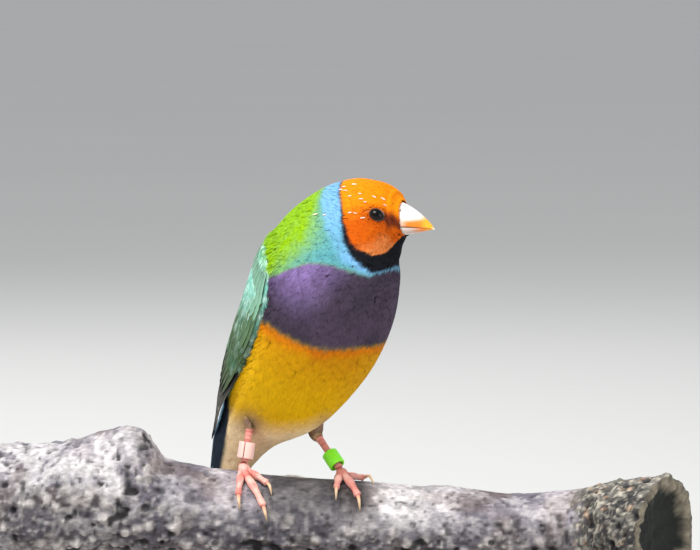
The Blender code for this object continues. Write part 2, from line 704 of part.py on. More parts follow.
def wing_slab(u):
    """How far the inner face of the wing's body stands off the plumage, and how thick it is."""
    off = GAP + 1.1 * smooth(u, 0.45, 0.8)
    return off, np.interp(u, (0.0, 0.04, 0.15, 0.3, 0.62), (0.5, 0.75, 0.8, 0.6, 0.5))


def vane(surface, rows, columns=3):
    """A feather's vane on a surface: each row is along, across, half width, lift and tilt."""
    rows = np.asarray(rows, float)
    spread = np.linspace(-1, 1, columns)[None, :]
    along, across, half, lift, tilt = (rows[:, k, None] for k in range(5))
    across = across + half * spread
    camber = 0.12 * (1 - spread**2) * np.minimum(1, half / half.max())
    under = lift + tilt * spread + camber
    depth = np.full(under.shape, VANE_THICK)
    depth[-1] = 0.6 * VANE_THICK
    top = surface(along + 0 * under, across, under + depth)
    bottom = surface(along + 0 * under, across, under)
    return sheet_solid("vane", top, bottom)


def wing_row(side, kind, spec, rng):
    """One row of flight feathers or coverts, from the upper edge of the wing to its lower edge."""
    count, root_u, tips, root_w, tip_w, half, rise, tilt, steps = spec
    pieces = []
    for k in range(count):
        f = k / (count - 1)
        tip_u = np.interp(f, np.linspace(0, 1, len(tips)), tips) + rng.uniform(-0.004, 0.004)
        w0 = root_w[0] + (root_w[1] - root_w[0]) * f
        w1 = tip_w[0] + (tip_w[1] - tip_w[0]) * f
        run = np.linspace(0, 1, steps)
        u = root_u + (tip_u - root_u) * run
        w = w0 + (w1 - w0) * run
        shape = np.interp(run, (0, 0.3, 0.75, 0.93, 1), (0.55, 0.95, 1.0, 0.72, 0.22))
        off, deep = wing_slab(u)
        sunk = np.interp(run, (0, 0.3), (1.0, 0.0))
        lift = (off + rise) * (1 - sunk) + (off + 0.25 * deep) * sunk
        lean = tilt * np.interp(run, (0, 0.15, 0.45), (0.0, 0.35, 1.0))
        rows = np.column_stack([u, w, half * shape, lift, lean])
        columns = 2 if kind.endswith("covert") else 3
        pieces.append(vane(lambda a, b, c: wing_point(side, a, b, c), rows, columns))
    return pieces


def make_wing(name, side, paint):
    """A folded wing: a slab for the arm, then coverts, tertials, secondaries and primaries."""
    rng = np.random.default_rng(5)
    u = np.linspace(0, 0.6, 8)[:, None]
    row = np.linspace(0, 1, 6)[None, :]
    w = row * (1 - 0.45 * smooth(u, 0.35, 0.6)) + 0.42 * smooth(u, 0.35, 0.6)
    off, deep = wing_slab(u)
    dome = 0.5 + (deep - 0.5) * np.sin(math.pi * row) ** 0.6
    slab = sheet_solid(name, wing_point(side, u, w, off + dome), wing_point(side, u, w, off + 0 * w), paint)
    pieces = []
    for kind, spec in WING_FEATHERS.items():
        pieces += wing_row(side, kind, spec, rng)
    return apply_boolean(slab, pieces, "UNION", "MANIFOLD")


def tail_point(t, across, lift):
    """A point of the tail: t millimetres from its root, across to the bird's left, lift backwards."""
    t, across, lift = np.broadcast_arrays(*(np.asarray(v, float) for v in (t, across, lift)))
    lean = TAIL_LEAN
    s = TAIL_S - t * math.sin(lean) - lift * math.cos(lean)
    z = TAIL_Z - t * math.cos(lean) + lift * math.sin(lean)
    return place(np.stack([s, across, z], axis=-1))


def tail_row(spec, rng):
    """Pairs of tail feathers or coverts, each with its place across, lift, length and width."""
    pieces = []
    for root_t, across, spread, lift, tip_t, half, tilt, point in spec:
        for side in (1, -1):
            run = np.linspace(0, 1, 5)
            t = root_t + (tip_t - root_t + rng.uniform(-0.4, 0.4)) * run
            place_across = side * (across + spread * run)
            shape = np.interp(run, (0, 0.3, 0.7, 0.93, 1), (0.6, 0.95, 1.0, point, 0.3 * point))
            shape = half * shape
            low = lift * np.interp(run, (0, 0.3), (0.2, 1.0))
            lean = -side * tilt * np.interp(run, (0, 0.2, 0.5), (0.0, 0.4, 1.0))
            rows = np.column_stack([t, place_across, shape, low, lean])
            pieces.append(vane(tail_point, rows, 2 if tip_t < 20 else 3))
    return pieces


def make_tail(paint):
    """The tail: a root that carries twelve long feathers, with coverts above and below."""
    rng = np.random.default_rng(9)
    rings = []
    for t, half, deep in ((-2.5, 3.3, 4.3), (2.0, 3.3, 3.4), (6.0, 3.2, 2.3), (10.0, 3.0, 1.2)):
        turn = np.linspace(0, 2 * math.pi, 14, endpoint=False)
        rings.append(tail_point(t, half * np.cos(turn), deep * np.sin(turn)))
    tail = tube("tail", rings, paint)
    pieces = tail_row(TAIL_FEATHERS, rng)
    apply_boolean(tail, pieces, "UNION", "MANIFOLD")
    return apply_boolean(tail, [body_offset(GAP)], "DIFFERENCE", "MANIFOLD")


def body_offset(lift, low=0.0, high=5.5):
    """The body as one closed solid whose skin stands lift millimetres out, to cut with."""
    sections = np.linspace(low, high, 16)
    angles = np.linspace(0, 2 * math.pi, RING_SIDES, endpoint=False)
    rings = place(lifted(sections[:, None], angles[None, :], lift))
    push_end(rings, 0, 1, -lift)
    return tube("offset", rings)


def make_thigh(side, foot, paint):
    """The feathered thigh: a soft cone that comes out of the belly and ends above the heel."""
    heel = np.array(foot["heel"])
    root = foot_root(foot)
    along = (heel - root) / np.linalg.norm(heel - root)
    low = heel + along * GAP
    hip = place(np.array(foot["hip"]))
    path = curve_through([low, low + along * 1.6, low + along * 1.6 + (hip - low) * 0.4, hip], 9)
    radii = np.array([1.15, 1.5, 1.8, 2.1, 2.4, 2.7, 2.9, 3.0, 3.1]) * foot["plump"]
    radii[0] = 1.15
    thigh = path_tube(f"thigh_{side}", path, radii, 14, paint)
    return apply_boolean(thigh, [body_offset(GAP)], "DIFFERENCE")


def clear_scene():
    """Takes away whatever objects a new file starts with."""
    for obj in list(bpy.data.objects):
        bpy.data.objects.remove(obj)


def main():
    """Makes every solid of the bird, its branch and its stand."""
    clear_scene()
    orange = material("red_face", (0.90, 0.22, 0.02))
    blue = material("blue_collar", (0.16, 0.45, 0.75))
    purple = material("purple_breast", (0.22, 0.10, 0.30))
    yellow = material("yellow_belly", (0.85, 0.50, 0.02))
    cream = material("cream_vent", (0.80, 0.66, 0.45))
    eye_black = material("eye", (0.01, 0.01, 0.012), 0.1)
    ivory = material("ivory_bill", (0.90, 0.72, 0.60), 0.35)
    pink = material("pink_skin", (0.80, 0.36, 0.32), 0.5)
    horn = material("horn_claw", (0.80, 0.55, 0.35), 0.4)
    bark = material("grey_bark", (0.36, 0.33, 0.34), 0.9)
    oak = material("base_wood", (0.20, 0.12, 0.07), 0.5)
    brass = material("rod_metal", (0.75, 0.60, 0.35), 0.3, 1.0)
    green_ring = material("green_ring", (0.25, 0.75, 0.05), 0.4)
    pink_ring = material("pink_ring", (0.90, 0.60, 0.55), 0.4)
    body_lump("rump", TAIL_ROOT, RUMP_END, cream)
    body_lump("belly", RUMP_END, BELLY_END, yellow)
    body_lump("breast", BELLY_END, BREAST_END, purple)
    body_lump("neck", BREAST_END, NECK_END, blue)
    make_head(orange, eye_black)
    make_bill(ivory)
    make_branch(bark)
    make_stand(oak, brass)
    for side, ring in (("right", pink_ring), ("left", green_ring)):
        make_foot(side, FEET[side], pink, horn)
        make_leg(side, FEET[side], pink, ring)
        make_thigh(side, FEET[side], cream)
    green = material("green_wing", (0.25, 0.45, 0.20))
    black = material("black_tail", (0.02, 0.02, 0.03))
    make_wing("wing_left", 1, green)
    make_wing("wing_right", -1, green)
    make_tail(black)


main()
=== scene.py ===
"""The looks of a male Gouldian finch on its perch, worked out in millimetres in the part's frame.

The bird has axes of its own: s forward, l to its left and z up from the middle of its feet.
place() turns them into the frame.
"""

from math import ceil, cos, pi, radians, sin, sqrt

import bpy
import numpy as np
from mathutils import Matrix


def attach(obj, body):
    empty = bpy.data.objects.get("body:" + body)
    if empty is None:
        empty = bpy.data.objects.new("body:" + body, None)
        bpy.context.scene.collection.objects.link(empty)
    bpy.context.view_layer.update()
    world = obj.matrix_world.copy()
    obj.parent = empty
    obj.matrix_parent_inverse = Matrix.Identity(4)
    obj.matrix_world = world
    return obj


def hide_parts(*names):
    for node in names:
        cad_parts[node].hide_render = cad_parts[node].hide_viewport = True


bl_info = {
    "name": "Gouldian finch on a perch",
    "version": (1, 0, 0),
    "blender": (4, 5, 0),
    "location": "3D View > Sidebar > Finch",
    "description": "Skin, feathers, bare parts, branch, stand and stage of a life-size finch model",
    "category": "Add Mesh",
}

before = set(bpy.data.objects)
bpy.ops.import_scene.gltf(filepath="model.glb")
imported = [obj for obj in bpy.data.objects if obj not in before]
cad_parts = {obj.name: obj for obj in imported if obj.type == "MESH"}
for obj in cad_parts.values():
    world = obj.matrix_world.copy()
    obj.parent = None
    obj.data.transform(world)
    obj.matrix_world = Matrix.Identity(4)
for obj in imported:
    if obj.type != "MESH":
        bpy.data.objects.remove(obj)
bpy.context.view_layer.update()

MM = 0.001
BODY = "root"

# How the bird stands in the frame
PERCH_X = -13.1
LEVEL_Z = 48.0
BODY_HEADING = radians(50.0)
HEAD_TURN = radians(28.0)
TURN_PIVOT_S = 14.0
TURN_START, TURN_END = 5.2, 8.2
GAP = 0.3

# The body's sections from the tail root to the bill: back s and z, belly s and z, half width, sag
BODY_SECTIONS = np.array([
    (-29.6, 3.0, -20.4, -3.4, 3.4, 0.00),
    (-27.0, 12.6, -15.8, 1.8, 5.0, 0.00),
    (-22.6, 22.8, -8.2, 7.0, 8.0, 0.00),
    (-15.6, 35.2, 6.8, 12.6, 13.2, 0.00),
    (-8.4, 47.0, 19.2, 23.4, 17.3, 0.04),
    (-1.4, 58.2, 27.8, 35.0, 18.0, 0.00),
    (5.8, 66.4, 32.0, 46.2, 15.5, 0.00),
    (12.6, 71.4, 32.4, 53.4, 11.2, 0.00),
    (18.0, 73.6, 32.4, 55.6, 9.4, 0.08),
    (23.0, 74.4, 32.6, 57.4, 8.7, 0.10),
    (27.6, 73.4, 33.2, 58.8, 7.9, 0.10),
    (31.2, 71.2, 33.8, 60.0, 6.4, 0.06),
    (33.4, 69.0, 34.4, 60.9, 4.6, 0.00),
])
TAIL_ROOT, BILL_ROOT = 0.0, 12.0
WING_BED, FOREHEAD_LIFT = 2.1, 0.8

# Eyes
EYE_SECTION, EYE_ANGLE = 9.9, radians(84.0)
EYE_RADIUS, EYE_SINK = 2.3, 1.75
EYE_OPENING = (1.62, 1.24)

# Markings: the body section where each colour ends, at these angles round from the back
MARK_ANGLES = (0, 30, 60, 85, 105, 120, 140, 156, 170, 180)
MASK_EDGE = (8.20, 8.14, 7.93, 7.52, 7.26, 7.13, 7.30, 9.20, 12.6, 13.6)
BLACK_EDGE = (8.12, 8.05, 7.84, 7.41, 7.06, 6.84, 6.72, 6.66, 6.86, 6.95)
COLLAR_EDGE = (7.40, 7.34, 7.16, 6.94, 6.72, 6.62, 6.58, 6.59, 6.80, 6.88)
BREAST_TOP = (3.6, 3.8, 4.4, 5.35, 6.15, 6.38, 6.52, 6.56, 6.80, 6.88)
BREAST_FOOT = (3.4, 3.4, 3.9, 4.46, 4.60, 4.66, 4.74, 4.82, 4.90, 4.92)
CREAM_EDGE = (0.6, 0.9, 1.4, 1.95, 2.20, 2.45, 2.66, 2.85, 3.05, 3.15)
PIN_FEATHERS = (
    (8.93, 29), (8.33, 32), (8.39, 41), (8.14, 36), (8.53, 51), (9.15, 50), (9.20, 58), (9.37, 64),
    (10.10, 53), (10.73, 50), (10.90, 60), (8.38, 78), (8.10, 74), (8.80, 85), (6.95, 62), (7.16, 70),
)

# Colours as seen on a screen
SCREEN_COLORS = {
    # crown is the mask's orange painted paler and yellower on top of the head, a painted highlight.
    "mask": (0.83, 0.36, 0.0), "crown": (0.98, 0.575, 0.02), "lores": (0.42, 0.17, 0.07),
    "black": (0.07, 0.075, 0.10), "collar": (0.48, 0.70, 0.88), "turquoise": (0.35, 0.62, 0.65),
    "mantle": (0.54, 0.72, 0.03), "back": (0.34, 0.56, 0.18), "rump": (0.30, 0.44, 0.53),
    "violet": (0.55, 0.45, 0.68), "purple": (0.23, 0.195, 0.25), "plum": (0.32, 0.265, 0.335),
    "orange": (0.74, 0.46, 0.0), "yellow": (0.88, 0.68, 0.0), "cream": (0.97, 0.86, 0.68),
    "thigh": (0.54, 0.43, 0.36), "pin": (1.0, 0.90, 0.84), "pin_base": (0.98, 0.70, 0.52),
    # navy is painted shadow: the blue of the rump's sides and of the tail's outer coverts in shade.
    "tan": (0.90, 0.55, 0.30), "navy": (0.12, 0.16, 0.21), "flame": (0.86, 0.34, 0.0),
    "lid": (0.05, 0.035, 0.03), "lid_rim": (0.62, 0.56, 0.55),
    "pupil": (0.015, 0.015, 0.018), "iris": (0.11, 0.065, 0.04),
    "primary": (0.075, 0.065, 0.065), "primary_edge": (0.50, 0.46, 0.36),
    "secondary": (0.19, 0.27, 0.13), "secondary_edge": (0.33, 0.43, 0.24),
    "tertial": (0.22, 0.34, 0.15), "tertial_edge": (0.34, 0.47, 0.27),
    "greater": (0.24, 0.36, 0.20), "greater_edge": (0.40, 0.54, 0.38),
    "median": (0.44, 0.66, 0.52), "median_edge": (0.66, 0.82, 0.76),
    # The wing's turquoise at the bend is painted sheen, and its pale streak hue a painted highlight.
    "inner_web": (0.10, 0.12, 0.10), "arm": (0.34, 0.50, 0.38), "wing_bend": (0.53, 0.83, 0.76),
    "wing_green": (0.20, 0.31, 0.14), "wing_streak": (0.82, 0.94, 0.90),
    "centre": (0.045, 0.05, 0.075), "centre_edge": (0.10, 0.12, 0.17),
    "tail": (0.05, 0.055, 0.075), "tail_edge": (0.11, 0.13, 0.17),
    "above": (0.12, 0.21, 0.28), "above_edge": (0.22, 0.35, 0.44),
    "below": (0.72, 0.58, 0.43), "below_edge": (0.86, 0.76, 0.60), "tail_root": (0.30, 0.42, 0.46),
    "ivory": (0.97, 0.93, 0.90), "bill_orange": (0.96, 0.52, 0.10), "rose": (0.72, 0.58, 0.51),
    "gold": (0.98, 0.68, 0.12), "nostril": (0.45, 0.26, 0.20),
    "leg": (0.90, 0.58, 0.53), "leg_groove": (0.74, 0.36, 0.34), "plate": (0.96, 0.70, 0.64),
    "toe": (0.99, 0.84, 0.79), "claw": (0.90, 0.62, 0.53), "claw_side": (0.90, 0.77, 0.62),
    "claw_tip": (0.42, 0.26, 0.18),
    "bark": (0.42, 0.40, 0.445), "bark_pale": (0.70, 0.67, 0.69), "bark_brown": (0.38, 0.31, 0.28),
    "bark_dark": (0.10, 0.095, 0.11), "lichen": (0.95, 0.93, 0.93), "crumb": (0.85, 0.82, 0.80),
    "rind": (0.41, 0.40, 0.37), "rind_pale": (0.72, 0.69, 0.63), "rind_tan": (0.72, 0.55, 0.40),
    "whitewash": (0.93, 0.92, 0.90), "hollow_rim": (0.52, 0.48, 0.41), "hollow": (0.075, 0.09, 0.07),
    "sawn": (0.72, 0.60, 0.44), "sawn_ring": (0.50, 0.38, 0.26),
}


def smooth(x, low, high):
    """0 below low, 1 above high, and the ease 3f^2 - 2f^3 between."""
    f = clip((x - low) / (high - low))
    return f * f * (3 - 2 * f)


def spline(rows, t):
    """Catmull-Rom curve through rows of numbers, read at the places t between them."""
    rows = np.asarray(rows, float)
    t = np.clip(np.asarray(t, float), 0.0, len(rows) - 1.0)
    ends = np.vstack([2 * rows[0] - rows[1], rows, 2 * rows[-1] - rows[-2]])
    i = np.minimum(t.astype(int), len(rows) - 2)
    f = (t - i)[..., None]
    a, b, c, d = (ends[i + k] for k in range(4))
    return 0.5 * (2 * b + (c - a) * f + (2 * a - 5 * b + 4 * c - d) * f**2
                  + (3 * b - a - 3 * c + d) * f**3)


def linear(color):
    """Screen colours to light: ((c + 0.055) / 1.055) to the power 2.4."""
    return ((np.asarray(color, float) + 0.055) / 1.055) ** 2.4


HUES = {name: linear(color) for name, color in SCREEN_COLORS.items()}


def paint(base, *layers):
    """Colours laid over one another. A layer is a hue, by name or point by point, and its share."""
    color = HUES[base] if isinstance(base, str) else base
    for hue, share in layers:
        share = np.asarray(share, float)[..., None]
        color = color * (1 - share) + (HUES[hue] if isinstance(hue, str) else hue) * share
    return color


def clip(share):
    """A share kept between 0 and 1."""
    return np.clip(share, 0, 1)


def circle(count):
    """Angles evenly round a full turn."""
    return np.linspace(0, 2 * pi, count, endpoint=False)


def hill(x, middle, width):
    """1 at the middle and falling off on both sides: exp(-((x - middle) / width)^2)."""
    return np.exp(-(((x - middle) / width) ** 2))


def capped(rows):
    """Rows of a tube made one list, with the middle of the first and of the last row added."""
    return np.vstack([rows.reshape(-1, 3), rows[0].mean(0), rows[-1].mean(0)])


def ramp(count):
    """Even steps from 0 to 1."""
    return np.linspace(0, 1, count)


def spokes(turn, first, second):
    """Unit steps out from an axis: cos turn first + sin turn second."""
    return np.cos(turn)[..., None] * first + np.sin(turn)[..., None] * second


def signed_power(x, power):
    """x raised to a power with its sign kept."""
    return np.sign(x) * np.abs(x) ** power


def unwrap_round(u, angle, low=0.0, high=1.0):
    """Places on a piece's map: round the piece across it, and from low to high up it."""
    return np.stack([wrapped(angle) / (2 * pi) * 0.98 + 0.5,
                     0.01 + 0.98 * (u - low) / (high - low)], axis=-1)


def turned(points, section):
    """The neck's turn: points at a section swing about an upright line through the neck."""
    angle = HEAD_TURN * smooth(section, TURN_START, TURN_END)
    c, s = np.cos(angle), np.sin(angle)
    out = np.array(points, float)
    forward, left = out[..., 0] - TURN_PIVOT_S, out[..., 1].copy()
    out[..., 0] = TURN_PIVOT_S + forward * c - left * s
    out[..., 1] = forward * s + left * c
    return out


def place(points):
    """Bird coordinates (s, l, z) to the frame, in millimetres."""
    points = np.asarray(points, float)
    c, s = cos(BODY_HEADING), sin(BODY_HEADING)
    x = PERCH_X + points[..., 0] * c + points[..., 1] * s
    y = -points[..., 0] * s + points[..., 1] * c
    return np.stack([x, y, LEVEL_Z + points[..., 2]], axis=-1)


def unit(vectors):
    """Vectors made one long."""
    return vectors / np.maximum(np.linalg.norm(vectors, axis=-1, keepdims=True), 1e-12)


def body_point(section, angle):
    """A point of the plumage: an oval ring with a shallow bed under each wing. Angle 0 is the back,
    90 degrees the left side."""
    section, angle = np.broadcast_arrays(section, angle)
    row = spline(BODY_SECTIONS, section)
    back = np.stack([row[..., 0], 0 * section, row[..., 1]], axis=-1)
    belly = np.stack([row[..., 2], 0 * section, row[..., 3]], axis=-1)
    middle, half = (back + belly) / 2, (back - belly) / 2
    away = np.abs(np.angle(np.exp(1j * angle)))
    bed = WING_BED * (0.65 + 0.35 * smooth(section, 2.6, 4.4)) * smooth(section, 0.6, 1.8)
    bed = bed * smooth(section, 5.6, 4.7) * smooth(away, 0.1, 0.6)
    bed = bed * smooth(away, 1.85, 1.5)
    across = np.sin(angle)
    up = np.cos(angle) - row[..., 5] * across**2
    shrink = 1 - bed / row[..., 4]
    point = middle + half * (up * shrink)[..., None]
    point[..., 1] += row[..., 4] * across * shrink
    return turned(point, section)


class Sheet:
    """A surface worked out once on a fine grid of u and v, then read anywhere between."""

    def __init__(self, points, u_span=(0.0, 1.0), v_span=(-pi, pi)):
        self.u_span, self.v_span, self.points = u_span, v_span, points
        self.u = np.linspace(*u_span, len(points))
        self.v = np.linspace(*v_span, points.shape[1])
        self.along = np.gradient(points, self.u, axis=0)
        self.around = np.gradient(points, self.v, axis=1)
        normals = unit(np.cross(self.along, self.around))
        away = points - points.mean(axis=1, keepdims=True)
        self.normals = normals * np.sign(np.sum(normals * away))

    def read(self, grid, u, v):
        """Grid values at u and v, by the four grid corners around each."""
        fu = (u - self.u_span[0]) / (self.u_span[1] - self.u_span[0]) * (len(self.u) - 1)
        fv = (v - self.v_span[0]) / (self.v_span[1] - self.v_span[0]) * (len(self.v) - 1)
        fu = np.clip(fu, 0, len(self.u) - 1.001)
        fv = np.clip(fv, 0, len(self.v) - 1.001)
        i, j = fu.astype(int), fv.astype(int)
        a, b = (fu - i)[..., None], (fv - j)[..., None]
        return ((grid[i, j] * (1 - b) + grid[i, j + 1] * b) * (1 - a)
                + (grid[i + 1, j] * (1 - b) + grid[i + 1, j + 1] * b) * a)

    def lifted(self, u, v, lift):
        """A point that stands lift off the sheet, with v taken round."""
        v = wrapped(v)
        return self.read(self.points, u, v) + self.read(self.normals, u, v) * lift[..., None]

    def scatter(self, rng, spacing, u_range=None):
        """Random places, spread so that each has about spacing(u, v) squared of surface."""
        uu, vv = np.meshgrid(self.u, self.v, indexing="ij")
        area = np.linalg.norm(np.cross(self.along, self.around), axis=-1)
        wanted = area / spacing(uu, vv) ** 2
        if u_range:
            wanted = wanted * (uu >= u_range[0]) * (uu < u_range[1])
        du, dv = self.u[1] - self.u[0], self.v[1] - self.v[0]
        wanted = wanted[:-1, :-1] * du * dv
        count = int(wanted.sum())
        levels = np.cumsum(wanted.ravel())
        picks = np.searchsorted(levels, (np.arange(count) + rng.random(count)) * levels[-1] / count)
        picks = np.minimum(picks, levels.size - 1)
        i, j = np.unravel_index(picks, wanted.shape)
        return self.u[i] + rng.random(count) * du, self.v[j] + rng.random(count) * dv


def value_noise(points, scale, seed):
    """Smooth noise from 0 to 1: random values on a lattice, eased between its corners."""
    table = np.random.default_rng(seed).random((32, 32, 32))
    p = points / scale
    cell = np.floor(p).astype(int)
    f = smooth(p - cell, 0, 1)
    total = 0.0
    for corner in np.ndindex(2, 2, 2):
        share = np.abs(1 - np.array(corner) - f).prod(axis=-1)
        i, j, k = np.moveaxis((cell + corner) % 32, -1, 0)
        total = total + share * table[i, j, k]
    return total


def rough_noise(points, scale, seed, octaves=3):
    """Value noise summed over octaves, each half as large and half as strong."""
    total, weight = 0.0, 0.0
    for octave in range(octaves):
        share = 0.5**octave
        total = total + share * value_noise(points, scale * share, seed + octave)
        weight += share
    return total / weight


def make_piece(name, points, faces, material, replaced=(), slot=None, tint=None, uvs=None):
    """A smooth mesh object from arrays of points (mm) and of three- or four-cornered faces."""
    points = np.asarray(points, np.float32) * MM
    mesh = bpy.data.meshes.new(name)
    faces = [np.asarray(group, np.int32) for group in (faces if isinstance(faces, list) else [faces])]
    sizes = np.concatenate([np.full(len(group), group.shape[1], np.int32) for group in faces])
    corners = np.concatenate([group.ravel() for group in faces])
    mesh.vertices.add(len(points))
    mesh.vertices.foreach_set("co", points.ravel())
    mesh.loops.add(len(corners))
    mesh.loops.foreach_set("vertex_index", corners)
    mesh.polygons.add(len(sizes))
    starts = np.concatenate([[0], np.cumsum(sizes)[:-1]]).astype(np.int32)
    mesh.polygons.foreach_set("loop_start", starts)
    mesh.polygons.foreach_set("use_smooth", np.ones(len(sizes), bool))
    if tint is not None:
        colors = np.ones((len(points), 4), np.float32)
        colors[:, :3] = clip(tint)
        layer = mesh.color_attributes.new("Tint", "FLOAT_COLOR", "POINT")
        layer.data.foreach_set("color", colors.ravel())
    for uv_name, uv in (uvs or {}).items():
        layer = mesh.uv_layers.new(name=uv_name)
        layer.data.foreach_set("uv", np.asarray(uv, np.float32)[corners].ravel())
    mesh.update(calc_edges=True)
    mesh.validate()
    mesh.materials.append(material)
    obj = add_object(name, mesh)
    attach(obj, BODY)
    if replaced:
        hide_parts(*replaced)
    return obj


def tube_faces(rings, sides, flip=False):
    """Quads between rings of points, with a fan over each end to the two last points."""
    r, k = np.meshgrid(np.arange(rings - 1), np.arange(sides), indexing="ij")
    n = (k + 1) % sides
    quads = np.stack([r * sides + k, r * sides + n, (r + 1) * sides + n, (r + 1) * sides + k], -1)
    k = np.arange(sides)
    n = (k + 1) % sides
    last = (rings - 1) * sides
    first_cap = np.stack([np.full(sides, rings * sides), n, k], -1)
    last_cap = np.stack([np.full(sides, rings * sides + 1), last + k, last + n], -1)
    groups = [quads.reshape(-1, 4), np.vstack([first_cap, last_cap])]
    return [group[:, ::-1] for group in groups] if flip else groups


def closed_tube(rings):
    """Points of a tube of rings, with the middle of each end ring added, and its faces outwards."""
    rings = np.asarray(rings, float)
    count, sides = rings.shape[:2]
    middle = rings[count // 2].mean(0)
    axis = rings[min(count // 2 + 1, count - 1)].mean(0) - rings[count // 2 - 1].mean(0)
    turn = np.cross(rings[count // 2, 0] - middle, rings[count // 2, 1] - middle)
    return capped(rings), tube_faces(count, sides, flip=float(turn @ axis) > 0)


def merged(parts):
    """Several (points, faces) made one: each part's corner numbers moved past the ones before."""
    points, quads, triangles, base = [], [], [], 0
    for part_points, groups in parts:
        points.append(part_points)
        for group in groups:
            (quads if group.shape[1] == 4 else triangles).append(group + base)
        base += len(part_points)
    faces = [np.vstack(quads)] if quads else []
    if triangles:
        faces.append(np.vstack(triangles))
    return np.vstack(points), faces


def add_object(name, data):
    """A new object that holds the data, in the scene."""
    obj = bpy.data.objects.new(name, data)
    bpy.context.scene.collection.objects.link(obj)
    return obj


def make_tube(name, rings, material, tint=None, **more):
    """A piece that is one closed tube of rings, tinted ring by ring or in one hue."""
    points, faces = closed_tube(rings)
    if tint is not None and tint.shape[:-1] == rings.shape[:-1]:
        tint = capped(tint)
    return make_piece(name, points, faces, material, tint=tint, **more)


def path_rings(path, radii, sides, flat=1.0):
    """Rings square to a path of points: middle + radius (cos t side + flat sin t other)."""
    path = np.asarray(path, float)
    tangents = unit(np.gradient(path, axis=0))
    side = unit(np.cross(tangents[0], (0.0, 0.0, 1.0)))
    turn = circle(sides)
    rings = []
    for point, tangent, radius in zip(path, tangents, radii):
        side = unit(side - tangent * (side @ tangent))
        other = np.cross(tangent, side)
        rings.append(point + radius * (np.cos(turn)[:, None] * side
                                       + flat * np.sin(turn)[:, None] * other))
    return np.array(rings)


def curve_through(points, count):
    """Evenly spaced points on a smooth curve through the given ones."""
    fine = spline(points, np.linspace(0, len(points) - 1, 300))
    steps = np.linalg.norm(np.diff(fine, axis=0), axis=1)
    length = np.concatenate([[0], np.cumsum(steps)])
    wanted = np.linspace(0, length[-1], count)
    return read_path(fine, wanted, length)


def read_path(path, places, steps):
    """Points of a path at places on the scale that its own points have as steps."""
    return np.stack([np.interp(places, steps, path[:, k]) for k in range(3)], axis=-1)


def wrapped(angle):
    """An angle brought between minus and plus half a turn."""
    return np.mod(angle + pi, 2 * pi) - pi


BODY_SHEET = Sheet(place(body_point(np.linspace(TAIL_ROOT, BILL_ROOT, 361)[:, None],
                                    np.linspace(-pi, pi, 361)[None, :])),
                   (TAIL_ROOT, BILL_ROOT))


def body_surface(section, angle, lift):
    """A point that stands lift off the plumage; past the tail root it runs straight on."""
    section, angle, lift = np.broadcast_arrays(section, wrapped(angle), lift)
    inside = np.maximum(section, TAIL_ROOT)
    point = BODY_SHEET.read(BODY_SHEET.points, inside, angle)
    point = point + BODY_SHEET.read(BODY_SHEET.along, inside, angle) * (section - inside)[..., None]
    return point + BODY_SHEET.read(BODY_SHEET.normals, inside, angle) * lift[..., None]


def coat_depth(section):
    """How deep the skin lies under the tips of the feathers: least round the bill."""
    return np.interp(section, (0.0, 6.6, 8.2, 11.0, 12.0), (0.75, 0.75, 0.5, 0.42, 0.36))


def coat_top(section, angle=pi):
    """How far the coat's outside lies off the solids: the feathers thin out at the bill, and stand
    fuller on the forehead."""
    crown = FOREHEAD_LIFT * (smooth(section, 9.3, 10.9) * smooth(np.cos(angle), 0.25, 0.95))
    return crown * smooth(section, 11.9, 11.2) - 0.75 * smooth(section, 11.2, 12.0)


def eye_frame(side):
    """Centre of an eyeball and its forward, upward and outward directions."""
    angle = side * EYE_ANGLE
    surface = body_surface(EYE_SECTION, angle, 0.0)
    out = body_surface(EYE_SECTION, angle, 1.0) - surface
    forward = place(turned(np.array([1.0, 0, -0.42]), 12.0)) - place(turned(np.zeros(3), 12.0))
    forward = unit(forward - out * (forward @ out))
    up = np.cross(out, forward) * side
    return surface - out * EYE_SINK, forward, up, out


def eye_places(points, side):
    """Forward, upward and outward distances of points from the middle of an eye."""
    centre, forward, up, out = eye_frame(side)
    away = points - centre
    return away @ forward, away @ up, away @ out


def eye_spread(x, y, wider=1.0):
    """Distance from the middle of an eye, 1 on the rim of its opening made that much wider."""
    return np.sqrt((x / (EYE_OPENING[0] * wider)) ** 2 + (y / (EYE_OPENING[1] * wider)) ** 2)


